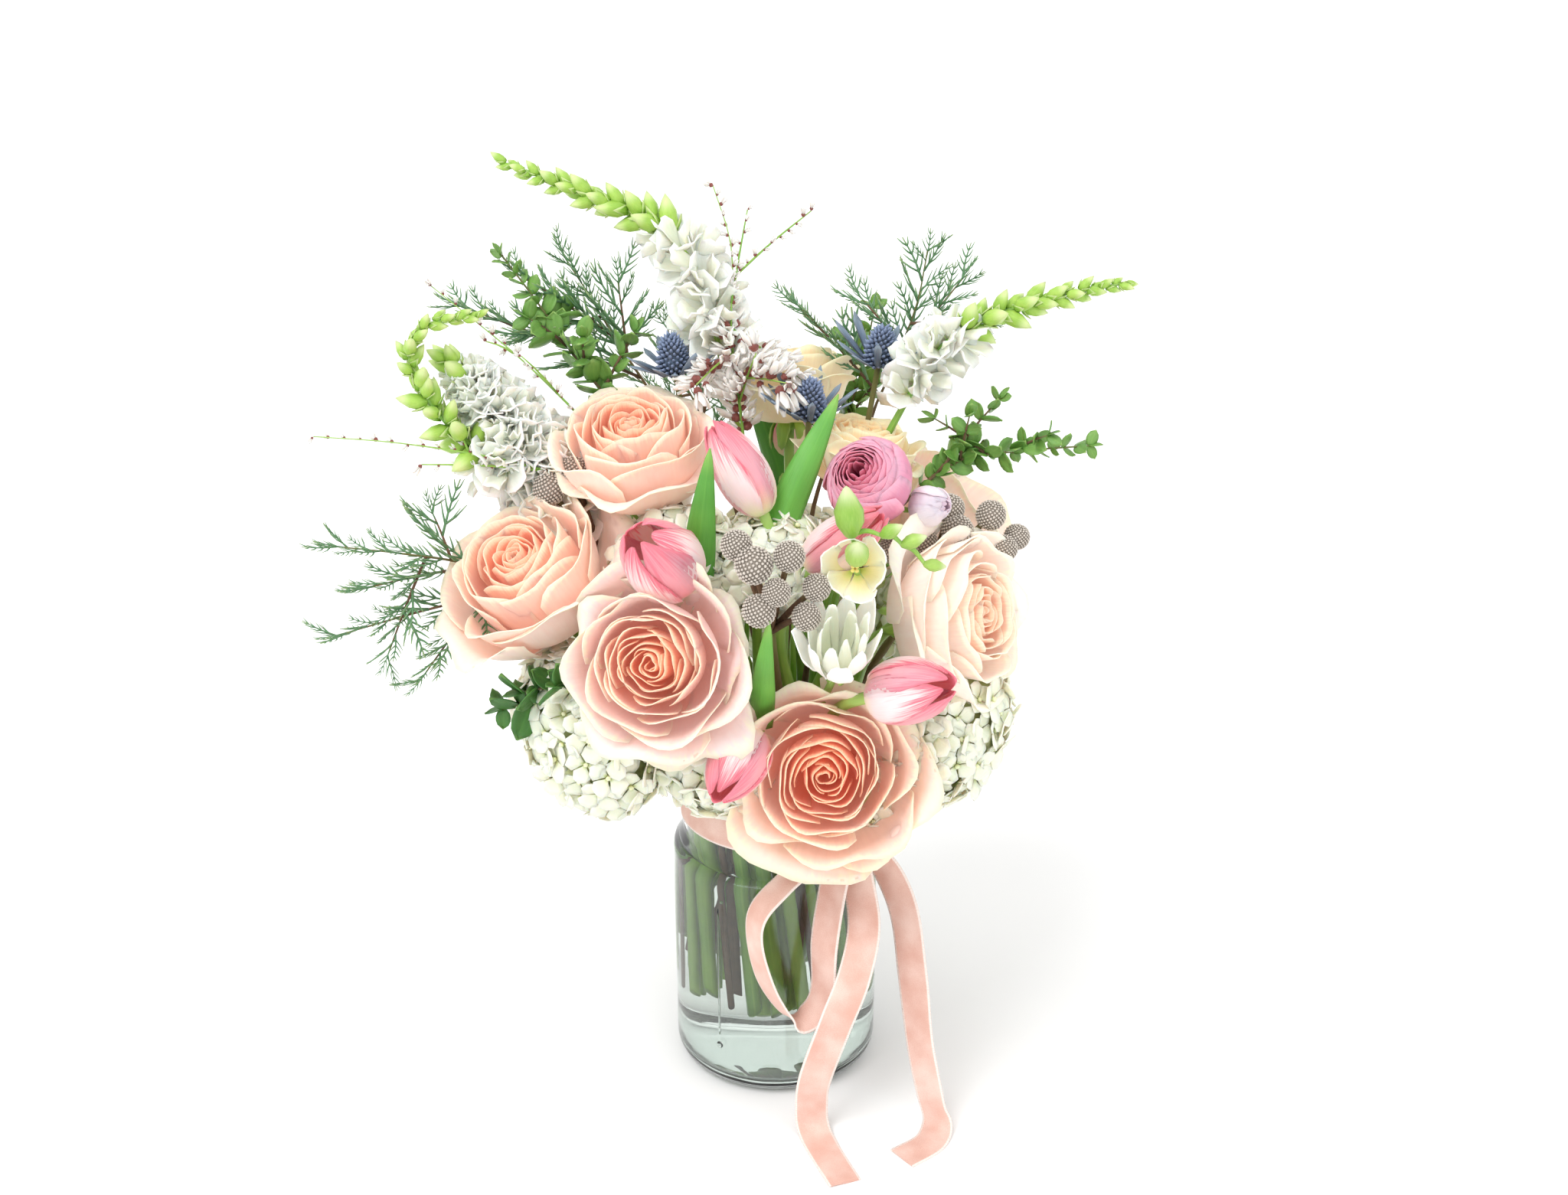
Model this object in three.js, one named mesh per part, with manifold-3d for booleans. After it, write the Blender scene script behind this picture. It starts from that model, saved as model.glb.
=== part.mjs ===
// Roses in a vase: cut stems standing in a glass canning jar of water, with a velvet ribbon tied round
// the jar's neck. Millimetres, +Z up. The origin is the centre of the jar's flat base, and the front of
// the bouquet is towards -Y. Every cut stem, with the head and leaves that grew on it, is one solid.
import * as THREE from "three";
import { mergeVertices } from "three/addons/utils/BufferGeometryUtils.js";
import Module from "manifold-3d";

const wasm = await Module();
wasm.setup();

// ---------------------------------------------------------------- driving dimensions
const GAP = 0.35; // left between pieces that would touch

const JAR_BODY_RADIUS = 47.5;
const JAR_NECK_RADIUS = 42.7;
const JAR_HEIGHT = 166;
const JAR_WALL = 3.4;
const JAR_FLOOR = 5;
const JAR_FOOT_RADIUS = 38; // the flat disc that it stands on
const JAR_SHOULDER_Z = 111; // the straight wall ends here
const JAR_NECK_Z = 121; // the neck starts here
const JAR_BEAD_Z = 148;
const JAR_BEAD = 1.2; // how far the bead stands out
const JAR_LIP = 1.5; // rounding of the rim
const JAR_SIDES = 28;

const WATER_LEVEL = 114;

const RIBBON_WIDTH = 15;
const RIBBON_THICKNESS = 0.9;
const RIBBON_LOW_Z = 128.5; // lower edge of the turn round the neck
const RIBBON_STEPS = 16; // bends along a loop or tail
const KNOT_AT = [28, -39.5, 133]; // on the band, front and right of the middle
const KNOT_SIZE = 9;

const FOOT_Z = 37; // lowest cut end
const FOOT_STEP = 3; // cut ends differ by this from stem to stem
const FOOT_SPREAD = 1.13; // the bunch is wider at the cut ends than in the neck
const BUNCH_TWIST = 0.35; // turn of the cut ends against the neck, radians
const NECK_PASS_Z = 156; // the stems are straight up to here
const RIM_CLEARANCE = 22; // and go on this far before they lean out over the rim
const LEAF_THICKNESS = 2.4; // a leaf blade with its folded back
const LEAF_LIFT = [0, -3, 4]; // how its middle bulges
const STALK_RADIUS = 1.2; // of a side bud
const COLLAR_POINTS = 6; // an eryngium's spiny collar
const COLLAR_NOTCH = 0.42; // the notches' depth as a share of its radius
const COLLAR_THICKNESS = 1.6;

// The bunch fills the neck in rings, each of so many stems.
const NECK_RINGS = [
  { radius: 33.7, count: 22 },
  { radius: 25.6, count: 16 },
  { radius: 16.6, count: 10 },
  { radius: 7.6, count: 4 },
];

// ---------------------------------------------------------------- materials
const finish = (color, roughness, metalness = 0, opacity = 1) =>
  new THREE.MeshStandardMaterial({ color, roughness, metalness, opacity, transparent: opacity < 1 });

const MATERIALS = {
  glass: () => finish("#dfeee8", 0.05, 0, 0.35),
  water: () => finish("#e6efe6", 0.05, 0, 0.4),
  ribbon: () => finish("#e0ae9a", 0.8),
  rose: () => finish("#f1c3aa", 0.6),
  tulip: () => finish("#eeb6c0", 0.45),
  ranunculus: () => finish("#d9799a", 0.5),
  freesia: () => finish("#f1f0d2", 0.5),
  lisianthus: () => finish("#f3f2e6", 0.5),
  brunia: () => finish("#a79c90", 0.85),
  hydrangea: () => finish("#f0efcf", 0.6),
  snapdragon: () => finish("#b9dd70", 0.55),
  stock: () => finish("#f1f3dd", 0.6),
  eryngium: () => finish("#5a6e8c", 0.6),
  genista: () => finish("#e9e0d2", 0.6),
  boxwood: () => finish("#5c9a3a", 0.45),
  cypress: () => finish("#5e8f5c", 0.6),
  leaf: () => finish("#4f7f3a", 0.5),
};

// ---------------------------------------------------------------- solids
const vector = (p) => new THREE.Vector3(...p);

/** An indexed copy with positions only: seams and poles joined, no empty triangles. */
function welded(geometry) {
  const bare = geometry.clone();
  bare.deleteAttribute("normal");
  bare.deleteAttribute("uv");
  const merged = mergeVertices(bare, 1e-3);
  const kept = [];
  for (let i = 0; i < merged.index.count; i += 3) {
    const [a, b, c] = [0, 1, 2].map((k) => merged.index.getX(i + k));
    if (a !== b && b !== c && a !== c) kept.push(a, b, c);
  }
  merged.setIndex(kept);
  return merged;
}

function signedVolume(geometry) {
  const at = (i) => new THREE.Vector3().fromBufferAttribute(geometry.attributes.position, geometry.index.getX(i));
  let sum = 0;
  for (let i = 0; i < geometry.index.count; i += 3) sum += at(i).dot(at(i + 1).cross(at(i + 2))) / 6;
  return sum;
}

/** A closed geometry as a solid, with its faces turned outwards. */
function solid(geometry) {
  const mesh = welded(geometry);
  const triangles = Uint32Array.from(mesh.index.array);
  if (signedVolume(mesh) < 0) {
    for (let i = 0; i < triangles.length; i += 3) [triangles[i], triangles[i + 1]] = [triangles[i + 1], triangles[i]];
  }
  const vertProperties = Float32Array.from(mesh.attributes.position.array);
  return new wasm.Manifold(new wasm.Mesh({ numProp: 3, vertProperties, triVerts: triangles }));
}

function geometryOf(body) {
  const { vertProperties, triVerts } = body.getMesh();
  const geometry = new THREE.BufferGeometry();
  geometry.setAttribute("position", new THREE.BufferAttribute(vertProperties, 3));
  geometry.setIndex(new THREE.BufferAttribute(triVerts, 1));
  return geometry;
}

const joined = (bodies) => bodies.reduce((sum, body) => sum.add(body));

function largestPiece(body) {
  return body.decompose().reduce((best, piece) => (piece.volume() > best.volume() ? piece : best));
}

// ---------------------------------------------------------------- basic shapes
function polygon(sides, radius) {
  const corner = (i) => [radius * Math.cos((2 * Math.PI * i) / sides), radius * Math.sin((2 * Math.PI * i) / sides)];
  return new THREE.Shape(Array.from({ length: sides }, (_, i) => new THREE.Vector2(...corner(i))));
}

function tube(curve, radius, sides, steps) {
  return new THREE.ExtrudeGeometry(polygon(sides, radius), { steps, extrudePath: curve, bevelEnabled: false });
}

/** A solid of revolution about +Z from [radius, height] points. */
function turned(profile, sides) {
  const points = profile.map(([r, z]) => new THREE.Vector2(r, z));
  return new THREE.LatheGeometry(points, sides).rotateX(Math.PI / 2);
}

const turnTo = (direction) => new THREE.Quaternion().setFromUnitVectors(new THREE.Vector3(0, 0, 1), direction);

/** Carries a geometry that stands on the origin along +Z to a place and a direction. */
function placed(geometry, at, direction) {
  return geometry.applyQuaternion(turnTo(direction)).translate(at.x, at.y, at.z);
}

/** Bends a geometry that runs from z = 0 to z = 1 along a curve. */
function bent(geometry, curve) {
  const position = geometry.attributes.position;
  for (let i = 0; i < position.count; i++) {
    const t = THREE.MathUtils.clamp(position.getZ(i), 0, 1);
    const offset = new THREE.Vector3(position.getX(i), position.getY(i), 0);
    offset.applyQuaternion(turnTo(curve.getTangentAt(t))).add(curve.getPointAt(t));
    position.setXYZ(i, offset.x, offset.y, offset.z);
  }
  return geometry;
}

/** A round spike along a curve: radius(t) is its half-width at the share t of its length. */
function spike(curve, radius, sides, steps) {
  const profile = [[0, 0]];
  for (let i = 0; i <= steps; i++) profile.push([radius(i / steps), i / steps]);
  profile.push([0, 1]);
  return bent(turned(profile, sides), curve);
}

/** A flat leaf blade from one point to another, bulging by lift at its middle. */
function blade(from, to, width, thickness, lift) {
  const middle = from.clone().lerp(to, 0.45).add(lift);
  const curve = new THREE.QuadraticBezierCurve3(from, middle, to);
  const outline = [[0, 0], [0.5, 0.02], [0.5, 0.35], [0.36, 0.7], [0, 1]];
  const flat = turned(outline, 6).scale(width, thickness, 1);
  return bent(flat, curve);
}

// ---------------------------------------------------------------- flower heads, each standing along +Z
// A profile's heights and radii are shares of the head's own height and radius.
const PROFILES = {
  rose: [[0, 0], [0.3, 0.03], [0.66, 0.2], [0.92, 0.44], [1, 0.64], [0.86, 0.84], [0.5, 0.96], [0, 1]],
  tulip: [[0, 0], [0.62, 0.08], [0.95, 0.3], [1, 0.5], [0.86, 0.78], [0.5, 0.97], [0, 1]],
  ball: [[0, 0], [0.5, 0.07], [0.87, 0.25], [1, 0.5], [0.87, 0.75], [0.5, 0.93], [0, 1]],
  dome: [[0, 0], [0.72, 0.12], [1, 0.45], [0.85, 0.8], [0.4, 0.97], [0, 1]],
  funnel: [[0, 0], [0.22, 0.04], [0.42, 0.4], [1, 0.86], [0.8, 1], [0, 0.94]],
  cone: [[0, 0], [0.85, 0.05], [1, 0.3], [0.8, 0.65], [0.45, 0.92], [0, 1]],
};

function head(profile, radius, height, sides) {
  return turned(PROFILES[profile].map(([r, z]) => [r * radius, z * height]), sides);
}

// ---------------------------------------------------------------- the bunch: what stands in the jar
// at: the base of the head, where its stem ends. facing: the way the head opens.
// height and radius: the head's size. stem: the stem's radius.
const rose = (name, at, facing, radius, height = radius * 1.35) => ({
  name, at, facing, stem: 2.9, material: "rose", profile: "rose", radius, height, sides: 10,
});
const ROSES = [
  rose("rose_top_left", [-58, 8, 284], [-0.12, -0.28, 0.95], 32),
  rose("rose_left", [-94, -20, 237], [-0.4, -0.38, 0.83], 36),
  rose("rose_front_left", [-44, -58, 233], [-0.17, -0.92, 0.36], 34),
  rose("rose_front_low", [22, -52, 181], [-0.03, -0.95, 0.3], 37, 44),
  rose("rose_right", [60, -24, 236], [0.83, -0.48, 0.28], 36, 44),
  rose("rose_top_back", [6, 58, 298], [0.02, 0.3, 0.95], 27),
  rose("rose_top_centre", [36, 24, 280], [0.14, 0.06, 0.99], 23),
  rose("rose_back_left", [-56, 54, 246], [-0.62, 0.68, 0.4], 34),
  rose("rose_back_right", [56, 50, 238], [0.7, 0.62, 0.36], 35),
];

// blades: leaf blades on the stem, each from a place near the stem to its tip.
const tulip = (name, at, facing, radius, height, blades = []) => ({
  name, at, facing, stem: 3, material: "tulip", profile: "tulip", radius, height, sides: 8, blades,
});
const TULIPS = [
  tulip("tulip_left", [-38, -58, 268], [-0.4, -0.55, 0.73], 18.5, 42, [
    { tip: [-26, -54, 325], width: 14, from: 0.86 },
  ]),
  tulip("tulip_top", [-4, -40, 291], [-0.5, 0.3, 0.81], 13, 44, [
    { tip: [27, -12, 334], width: 15, from: 0.93 },
  ]),
  tulip("tulip_centre_right", [14, -57, 274], [0.7, -0.25, 0.67], 13, 43),
  tulip("tulip_right", [40, -80, 226], [0.76, -0.52, 0.38], 16, 41),
  tulip("tulip_low", [-8, -70, 204], [-0.42, -0.82, -0.38], 14.5, 38, [
    { tip: [-2, -98, 268], width: 11, from: 0.9 },
  ]),
  tulip("tulip_back", [4, 74, 272], [0.05, 0.66, 0.75], 14, 42, [
    { tip: [-16, 92, 318], width: 14, from: 0.9 },
  ]),
];

const hydrangea = (name, at, facing, radius, height = radius * 1.5) => ({
  name, at, facing, stem: 3.4, material: "hydrangea", profile: "dome", radius, height, sides: 8,
});
const HYDRANGEAS = [
  hydrangea("hydrangea_front_left", [-58, -28, 200], [-0.78, -0.55, -0.28], 40, 56),
  hydrangea("hydrangea_upper_left", [-36, -22, 248], [-0.35, -0.5, 0.79], 27),
  hydrangea("hydrangea_centre", [2, -30, 252], [-0.15, -0.45, 0.88], 25),
  hydrangea("hydrangea_rim", [-20, -44, 190], [-0.3, -0.85, -0.42], 25, 36),
  hydrangea("hydrangea_right", [54, -26, 196], [0.83, -0.5, -0.26], 36, 50),
  hydrangea("hydrangea_under", [34, -46, 175], [0.25, -0.72, -0.65], 20, 32),
  hydrangea("hydrangea_back_left", [-52, 34, 204], [-0.76, 0.62, -0.2], 38, 54),
  hydrangea("hydrangea_back_right", [52, 40, 200], [0.7, 0.68, -0.22], 38, 54),
  hydrangea("hydrangea_back", [3, 56, 208], [0, 0.99, -0.06], 40, 54),
];

// lobes: smaller round parts of the same plant, each on its own stalk: place, radius, and height if not round.
const OTHER_FLOWERS = [
  {
    name: "ranunculus", at: [46, -16, 289], facing: [-0.36, -0.66, 0.66], stem: 2.3,
    material: "ranunculus", profile: "ball", radius: 20, height: 34, sides: 12,
    lobes: [{ at: [66, -28, 290], radius: 10 }],
  },
  {
    name: "freesia", at: [38, -80, 280], facing: [-0.05, -0.92, 0.38], stem: 1.7,
    material: "freesia", profile: "funnel", radius: 12, height: 18, sides: 8,
    lobes: [
      { at: [33, -86, 292], radius: 6.5 },
      { at: [30, -80, 306], radius: 8 },
      { at: [46, -84, 301], radius: 4 },
      { at: [55, -82, 296], radius: 4 },
      { at: [64, -78, 284], radius: 3.5 },
    ],
  },
  {
    name: "lisianthus", at: [26, -76, 238], facing: [0.03, -0.62, 0.78], stem: 2,
    material: "lisianthus", profile: "tulip", radius: 15, height: 36, sides: 9,
  },
];

const ball = (x, y, z, radius = 6.6) => ({ at: [x, y, z], radius });
const BRUNIAS = [
  {
    name: "brunia_centre", at: [-2, -68, 262], facing: [0, -0.6, 0.8], stem: 2, material: "brunia",
    lobes: [
      ball(-15, -84, 295), ball(-8, -90, 289, 7.8), ball(6, -88, 292), ball(1, -94, 279, 6),
      ball(17, -87, 278, 6), ball(-6, -94, 271, 7), ball(13, -91, 267, 6.2),
    ],
  },
  {
    name: "brunia_left", at: [-84, -2, 272], facing: [-0.2, -0.1, 0.97], stem: 2, material: "brunia",
    lobes: [ball(-97, -8, 290, 7.4), ball(-87, -4, 296, 7.2), ball(-92, 6, 286, 6)],
  },
  {
    name: "brunia_right", at: [76, 2, 258], facing: [0.3, -0.1, 0.95], stem: 2, material: "brunia",
    lobes: [
      ball(76, -6, 280), ball(79, -12, 272, 7.2), ball(64, -14, 268), ball(50, -24, 268, 6.2),
      ball(94, -4, 276, 6.8), ball(100, -8, 262, 6.2), ball(106, -2, 265, 6),
    ],
  },
];

// A spike's path runs from the bunch to the tip, and its radius shrinks to the tip.
const flowerSpike = (name, material, path, radius, stem) => ({ name, material, path, radius, stem, sides: 6 });
const SPIKES = [
  flowerSpike("snapdragon_top", "snapdragon",
    [[-24, 42, 334], [-34, 50, 372], [-56, 58, 391], [-84, 64, 401], [-118, 70, 413]], 11, 2),
  flowerSpike("snapdragon_left", "snapdragon",
    [[-116, 0, 296], [-140, -4, 318], [-154, -6, 346], [-145, -4, 362], [-126, 0, 364]], 9, 2),
  flowerSpike("snapdragon_right", "snapdragon",
    [[58, 28, 318], [72, 32, 340], [92, 34, 353], [120, 36, 362], [152, 38, 368]], 10, 2),
  flowerSpike("stock_left", "stock", [[-92, 14, 276], [-110, 12, 300], [-128, 10, 328], [-140, 8, 342]], 19, 2.4),
];

const ERYNGIUMS = [
  { name: "eryngium_left", at: [-44, 34, 328], facing: [-0.12, -0.05, 0.99] },
  { name: "eryngium_centre", at: [15, 20, 312], facing: [0.03, -0.05, 0.99] },
  { name: "eryngium_right", at: [46, 42, 329], facing: [0.12, 0, 0.99] },
].map((plant) => ({
  ...plant, stem: 1.4, material: "eryngium", profile: "cone", radius: 7, height: 19, sides: 6, collar: 18,
}));

// A sprig: its path runs from the bunch to the main tip, and twigs leave it towards their own tips.
const sprig = (name, material, path, twigs, stem, twig) => ({ name, material, path, twigs, stem, twig });
const SPRIGS = [
  sprig("genista_centre", "genista", [[-14, 22, 305], [-19, 34, 345], [-19, 50, 380], [-27, 58, 406]],
    [[-8, 20, 342], [6, 14, 330], [-34, 12, 330], [14, 26, 326], [-12, 56, 396], [16, 62, 394]], 1.5, 0.9),
  sprig("genista_left_long", "genista", [[-86, -2, 292], [-120, -8, 304], [-160, -14, 313], [-194, -20, 318]],
    [[-150, -16, 304], [-136, -4, 316]], 1.4, 0.8),
  sprig("genista_left_short", "genista", [[-88, 16, 318], [-112, 18, 342], [-147, 20, 372]],
    [[-108, 6, 345], [-126, 30, 344]], 1.3, 0.8),
  sprig("boxwood_left", "boxwood", [[-70, 32, 312], [-88, 42, 332], [-104, 50, 354], [-121, 56, 376]],
    [[-62, 44, 344], [-84, 30, 346], [-108, 38, 352], [-98, 62, 350]], 1.6, 2.6),
  sprig("boxwood_right", "boxwood", [[64, 10, 284], [82, 12, 296], [110, 12, 300], [137, 10, 303]],
    [[98, 18, 322], [84, 6, 318], [70, 20, 312], [118, 4, 310]], 1.6, 2.6),
  sprig("boxwood_back", "boxwood", [[22, 70, 268], [34, 84, 292], [42, 92, 318], [46, 96, 340]],
    [[20, 92, 314], [58, 86, 320], [30, 104, 322]], 1.6, 2.6),
  sprig("cypress_top_right", "cypress", [[44, 54, 302], [56, 60, 330], [64, 64, 352], [68, 66, 375]],
    [[10, 66, 350], [84, 66, 362], [38, 66, 354], [92, 60, 342]], 1.4, 2.2),
  sprig("cypress_top_left", "cypress", [[-56, 54, 312], [-72, 60, 336], [-84, 64, 356], [-94, 66, 372]],
    [[-142, 64, 350], [-70, 60, 362], [-116, 62, 366], [-112, 54, 338]], 1.4, 2.2),
  sprig("cypress_left", "cypress", [[-104, -4, 236], [-130, -14, 256], [-158, -24, 266], [-186, -30, 272]],
    [[-188, -38, 234], [-152, -44, 216], [-176, -34, 254], [-148, -10, 280], [-166, -42, 226]], 1.6, 2.4),
  sprig("cypress_back", "cypress", [[-22, 78, 256], [-34, 96, 284], [-46, 106, 306], [-52, 110, 330]],
    [[-18, 108, 302], [-70, 100, 308], [-28, 112, 322], [-60, 92, 292]], 1.5, 2.2),
  sprig("leaf_twig_left", "leaf", [[-66, -50, 214], [-84, -58, 220], [-102, -56, 212], [-116, -52, 206]],
    [[-88, -70, 226], [-106, -60, 218]], 1.3, 1.6),
];

const PLANTS = [
  ...ROSES, ...TULIPS, ...OTHER_FLOWERS, ...BRUNIAS, ...ERYNGIUMS, ...SPIKES, ...SPRIGS, ...HYDRANGEAS,
];

// ---------------------------------------------------------------- stems
const STEM_SIDES = 5;
const STEM_STEPS = 6;
const STEM_IN_HEAD = 5; // the stem runs this far into its head

const headBase = (plant) => vector(plant.at ?? plant.path[0]);

function headingOf(plant) {
  if (plant.facing) return vector(plant.facing).normalize();
  return vector(plant.path[1]).sub(vector(plant.path[0])).normalize();
}

const lean = (plant) => Math.atan2(Math.hypot(headBase(plant).x, headBase(plant).y), headBase(plant).z - NECK_PASS_Z);
const azimuth = (plant) => Math.atan2(headBase(plant).y, headBase(plant).x);

/** Gives every stem its place in the neck: the further a stem leans, the further out it passes. */
function passThroughNeck(plants) {
  const waiting = [...plants].sort((a, b) => lean(b) - lean(a));
  NECK_RINGS.forEach(({ radius, count }) => {
    const ring = waiting.splice(0, count).sort((a, b) => azimuth(a) - azimuth(b));
    const spacing = (2 * Math.PI) / ring.length;
    const shift = ring.reduce((sum, plant, i) => sum + azimuth(plant) - i * spacing, 0) / ring.length;
    ring.forEach((plant, i) => Object.assign(plant, { neckRadius: radius, neckAngle: shift + i * spacing }));
  });
}

/** A cut stem's line: straight through the jar on its first step, then curving to its head. */
class StemLine extends THREE.Curve {
  constructor(foot, rise) {
    super();
    this.foot = foot;
    this.rise = rise;
    this.straight = 1 / STEM_STEPS;
  }

  getPoint(t) {
    if (t < this.straight) return this.foot.clone().lerp(this.rise.v0, t / this.straight);
    return this.rise.getPoint((t - this.straight) / (1 - this.straight));
  }

  getPointAt(t) {
    return this.getPoint(t);
  }

  getTangentAt(t) {
    return this.getTangent(t);
  }
}

function stemLine(plant, order) {
  const pass = (z, spread, turn) => new THREE.Vector3(
    plant.neckRadius * spread * Math.cos(plant.neckAngle + turn),
    plant.neckRadius * spread * Math.sin(plant.neckAngle + turn), z);
  const heading = headingOf(plant);
  const base = headBase(plant);
  const end = base.clone().addScaledVector(heading, STEM_IN_HEAD);
  const reach = base.distanceTo(pass(JAR_HEIGHT, 1, 0)) * 0.36;
  const approach = base.clone().addScaledVector(heading, -reach);
  const foot = pass(FOOT_Z + FOOT_STEP * (order % 4), FOOT_SPREAD, BUNCH_TWIST);
  const neck = pass(NECK_PASS_Z, 1, 0);
  const over = neck.clone().addScaledVector(neck.clone().sub(foot).normalize(), Math.max(RIM_CLEARANCE, reach * 0.9));
  return new StemLine(foot, new THREE.CubicBezierCurve3(neck, over, approach, end));
}

const pathCurve = (plant) => new THREE.CatmullRomCurve3(plant.path.map(vector), false, "centripetal");

/** The bare stem, which a sprig's own tapering axis carries on to its tip. */
function stemSolid(plant, grow = 0) {
  const stem = solid(tube(plant.stemLine, plant.stem + grow, STEM_SIDES, STEM_STEPS));
  if (!plant.twigs) return stem;
  return stem.add(solid(spike(pathCurve(plant), (t) => grow + plant.stem * (1.1 - 0.7 * t), 5, 4)));
}

// ---------------------------------------------------------------- what grows on a stem
const HEAD_SINK = 1; // the head's base reaches this far down its stem

function headParts(plant, grow) {
  if (!plant.profile) return [];
  const heading = headingOf(plant);
  const low = headBase(plant).addScaledVector(heading, -HEAD_SINK - grow);
  const shape = head(plant.profile, plant.radius + grow, plant.height + 2 * grow, plant.sides);
  return [solid(placed(shape, low, heading))];
}

function bladeParts(plant, grow) {
  return (plant.blades ?? []).map(({ tip, width, from }) => {
    const start = plant.stemLine.getPointAt(from);
    return solid(blade(start, vector(tip), width + 2 * grow, LEAF_THICKNESS + 2 * grow, vector(LEAF_LIFT)));
  });
}

function lobeParts(plant, grow) {
  const root = headBase(plant);
  return (plant.lobes ?? []).flatMap(({ at, radius }) => {
    const centre = vector(at);
    const middle = root.clone().lerp(centre, 0.55).addScaledVector(headingOf(plant), 3);
    const stalk = tube(new THREE.QuadraticBezierCurve3(root, middle, centre), STALK_RADIUS + grow, 4, 2);
    const round = new THREE.OctahedronGeometry(radius + grow, 1).translate(centre.x, centre.y, centre.z);
    return [solid(stalk), solid(round)];
  });
}

/** The spiny collar under an eryngium cone, as a thin star. */
function collarParts(plant, grow) {
  if (!plant.collar) return [];
  const star = new THREE.Shape(Array.from({ length: 2 * COLLAR_POINTS }, (_, i) => {
    const radius = (i % 2 ? COLLAR_NOTCH : 1) * plant.collar + grow;
    const angle = (Math.PI * i) / COLLAR_POINTS;
    return new THREE.Vector2(radius * Math.cos(angle), radius * Math.sin(angle));
  }));
  const collar = new THREE.ExtrudeGeometry(star, { depth: COLLAR_THICKNESS + 2 * grow, bevelEnabled: false });
  return [solid(placed(collar.translate(0, 0, -grow), headBase(plant), headingOf(plant)))];
}

function spikeParts(plant, grow) {
  if (!plant.path || plant.twigs) return [];
  const radius = (t) => grow + plant.radius * (0.55 + 0.45 * Math.sin(Math.PI * Math.min(1, t + 0.3))) * (1.08 - t);
  return [solid(spike(pathCurve(plant), radius, plant.sides, 6))];
}

function twigParts(plant, grow) {
  if (!plant.twigs) return [];
  const axis = pathCurve(plant);
  const twig = (from, to, width) => {
    const middle = from.clone().lerp(to, 0.5).add(new THREE.Vector3(0, 0, 2));
    const curve = new THREE.QuadraticBezierCurve3(from, middle, to);
    return solid(spike(curve, (t) => grow + width * (0.45 + 0.55 * Math.sin(Math.PI * t)), 4, 2));
  };
  return plant.twigs.map((tip, i) => {
    const from = axis.getPointAt(0.12 + (0.6 * i) / plant.twigs.length);
    return twig(from, vector(tip), plant.twig);
  });
}

function grownParts(plant, grow) {
  return [headParts, bladeParts, lobeParts, collarParts, spikeParts, twigParts].flatMap((make) => make(plant, grow));
}

// ---------------------------------------------------------------- the jar, its water and the ribbon
function quarterArc(centreR, centreZ, radius, from, to, steps) {
  return Array.from({ length: steps + 1 }, (_, i) => {
    const angle = THREE.MathUtils.degToRad(from + ((to - from) * i) / steps);
    return [centreR + radius * Math.cos(angle), centreZ + radius * Math.sin(angle)];
  });
}

function jarProfile() {
  const corner = JAR_BODY_RADIUS - JAR_FOOT_RADIUS;
  const innerRadius = JAR_BODY_RADIUS - JAR_WALL;
  const innerNeck = JAR_NECK_RADIUS - JAR_WALL;
  const innerCorner = corner - JAR_WALL + 1;
  return [
    [0, 0],
    ...quarterArc(JAR_FOOT_RADIUS, corner, corner, -90, 0, 4),
    [JAR_BODY_RADIUS, JAR_SHOULDER_Z],
    [JAR_BODY_RADIUS - 1.4, JAR_SHOULDER_Z + 6],
    [JAR_NECK_RADIUS, JAR_NECK_Z],
    [JAR_NECK_RADIUS, JAR_BEAD_Z - 2],
    [JAR_NECK_RADIUS + JAR_BEAD, JAR_BEAD_Z],
    [JAR_NECK_RADIUS, JAR_BEAD_Z + 2],
    [JAR_NECK_RADIUS, JAR_HEIGHT - JAR_LIP],
    [JAR_NECK_RADIUS - JAR_LIP, JAR_HEIGHT],
    [innerNeck + 1, JAR_HEIGHT],
    [innerNeck, JAR_HEIGHT - 1],
    [innerNeck, JAR_NECK_Z],
    [innerRadius - 1.4, JAR_SHOULDER_Z + 5],
    [innerRadius, JAR_SHOULDER_Z - 1],
    ...quarterArc(innerRadius - innerCorner, JAR_FLOOR + innerCorner, innerCorner, 0, -90, 3),
    [0, JAR_FLOOR],
  ];
}

/** The outside of the jar and its ribbon as a plain stopper, for clearing what hangs over the rim. */
function jarEnvelope() {
  const sides = 16;
  const clear = (radius) => (radius + GAP) / Math.cos(Math.PI / sides);
  const body = clear(JAR_BODY_RADIUS);
  const neck = clear(JAR_NECK_RADIUS + RIBBON_THICKNESS + GAP);
  return solid(turned([
    [0, -GAP], [body, -GAP], [body, JAR_SHOULDER_Z + 4],
    [neck, JAR_NECK_Z + 4], [neck, JAR_HEIGHT + GAP], [0, JAR_HEIGHT + GAP],
  ], sides));
}

function waterSolid() {
  const radius = JAR_BODY_RADIUS - JAR_WALL - GAP - 0.3;
  const corner = JAR_BODY_RADIUS - JAR_FOOT_RADIUS - JAR_WALL + 1;
  const low = JAR_FLOOR + GAP;
  return solid(turned([
    [0, low], [radius - corner, low], [radius - 1.5, low + corner * 0.6], [radius, low + corner],
    [radius, JAR_SHOULDER_Z - 2], [radius - 1.2, WATER_LEVEL], [0, WATER_LEVEL],
  ], JAR_SIDES));
}

function ribbonBand() {
  const inner = JAR_NECK_RADIUS + GAP;
  const outer = inner + RIBBON_THICKNESS;
  const top = RIBBON_LOW_Z + RIBBON_WIDTH;
  const profile = [[inner, RIBBON_LOW_Z], [outer, RIBBON_LOW_Z], [outer, top], [inner, top], [inner, RIBBON_LOW_Z]];
  return solid(turned(profile, JAR_SIDES));
}

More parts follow.
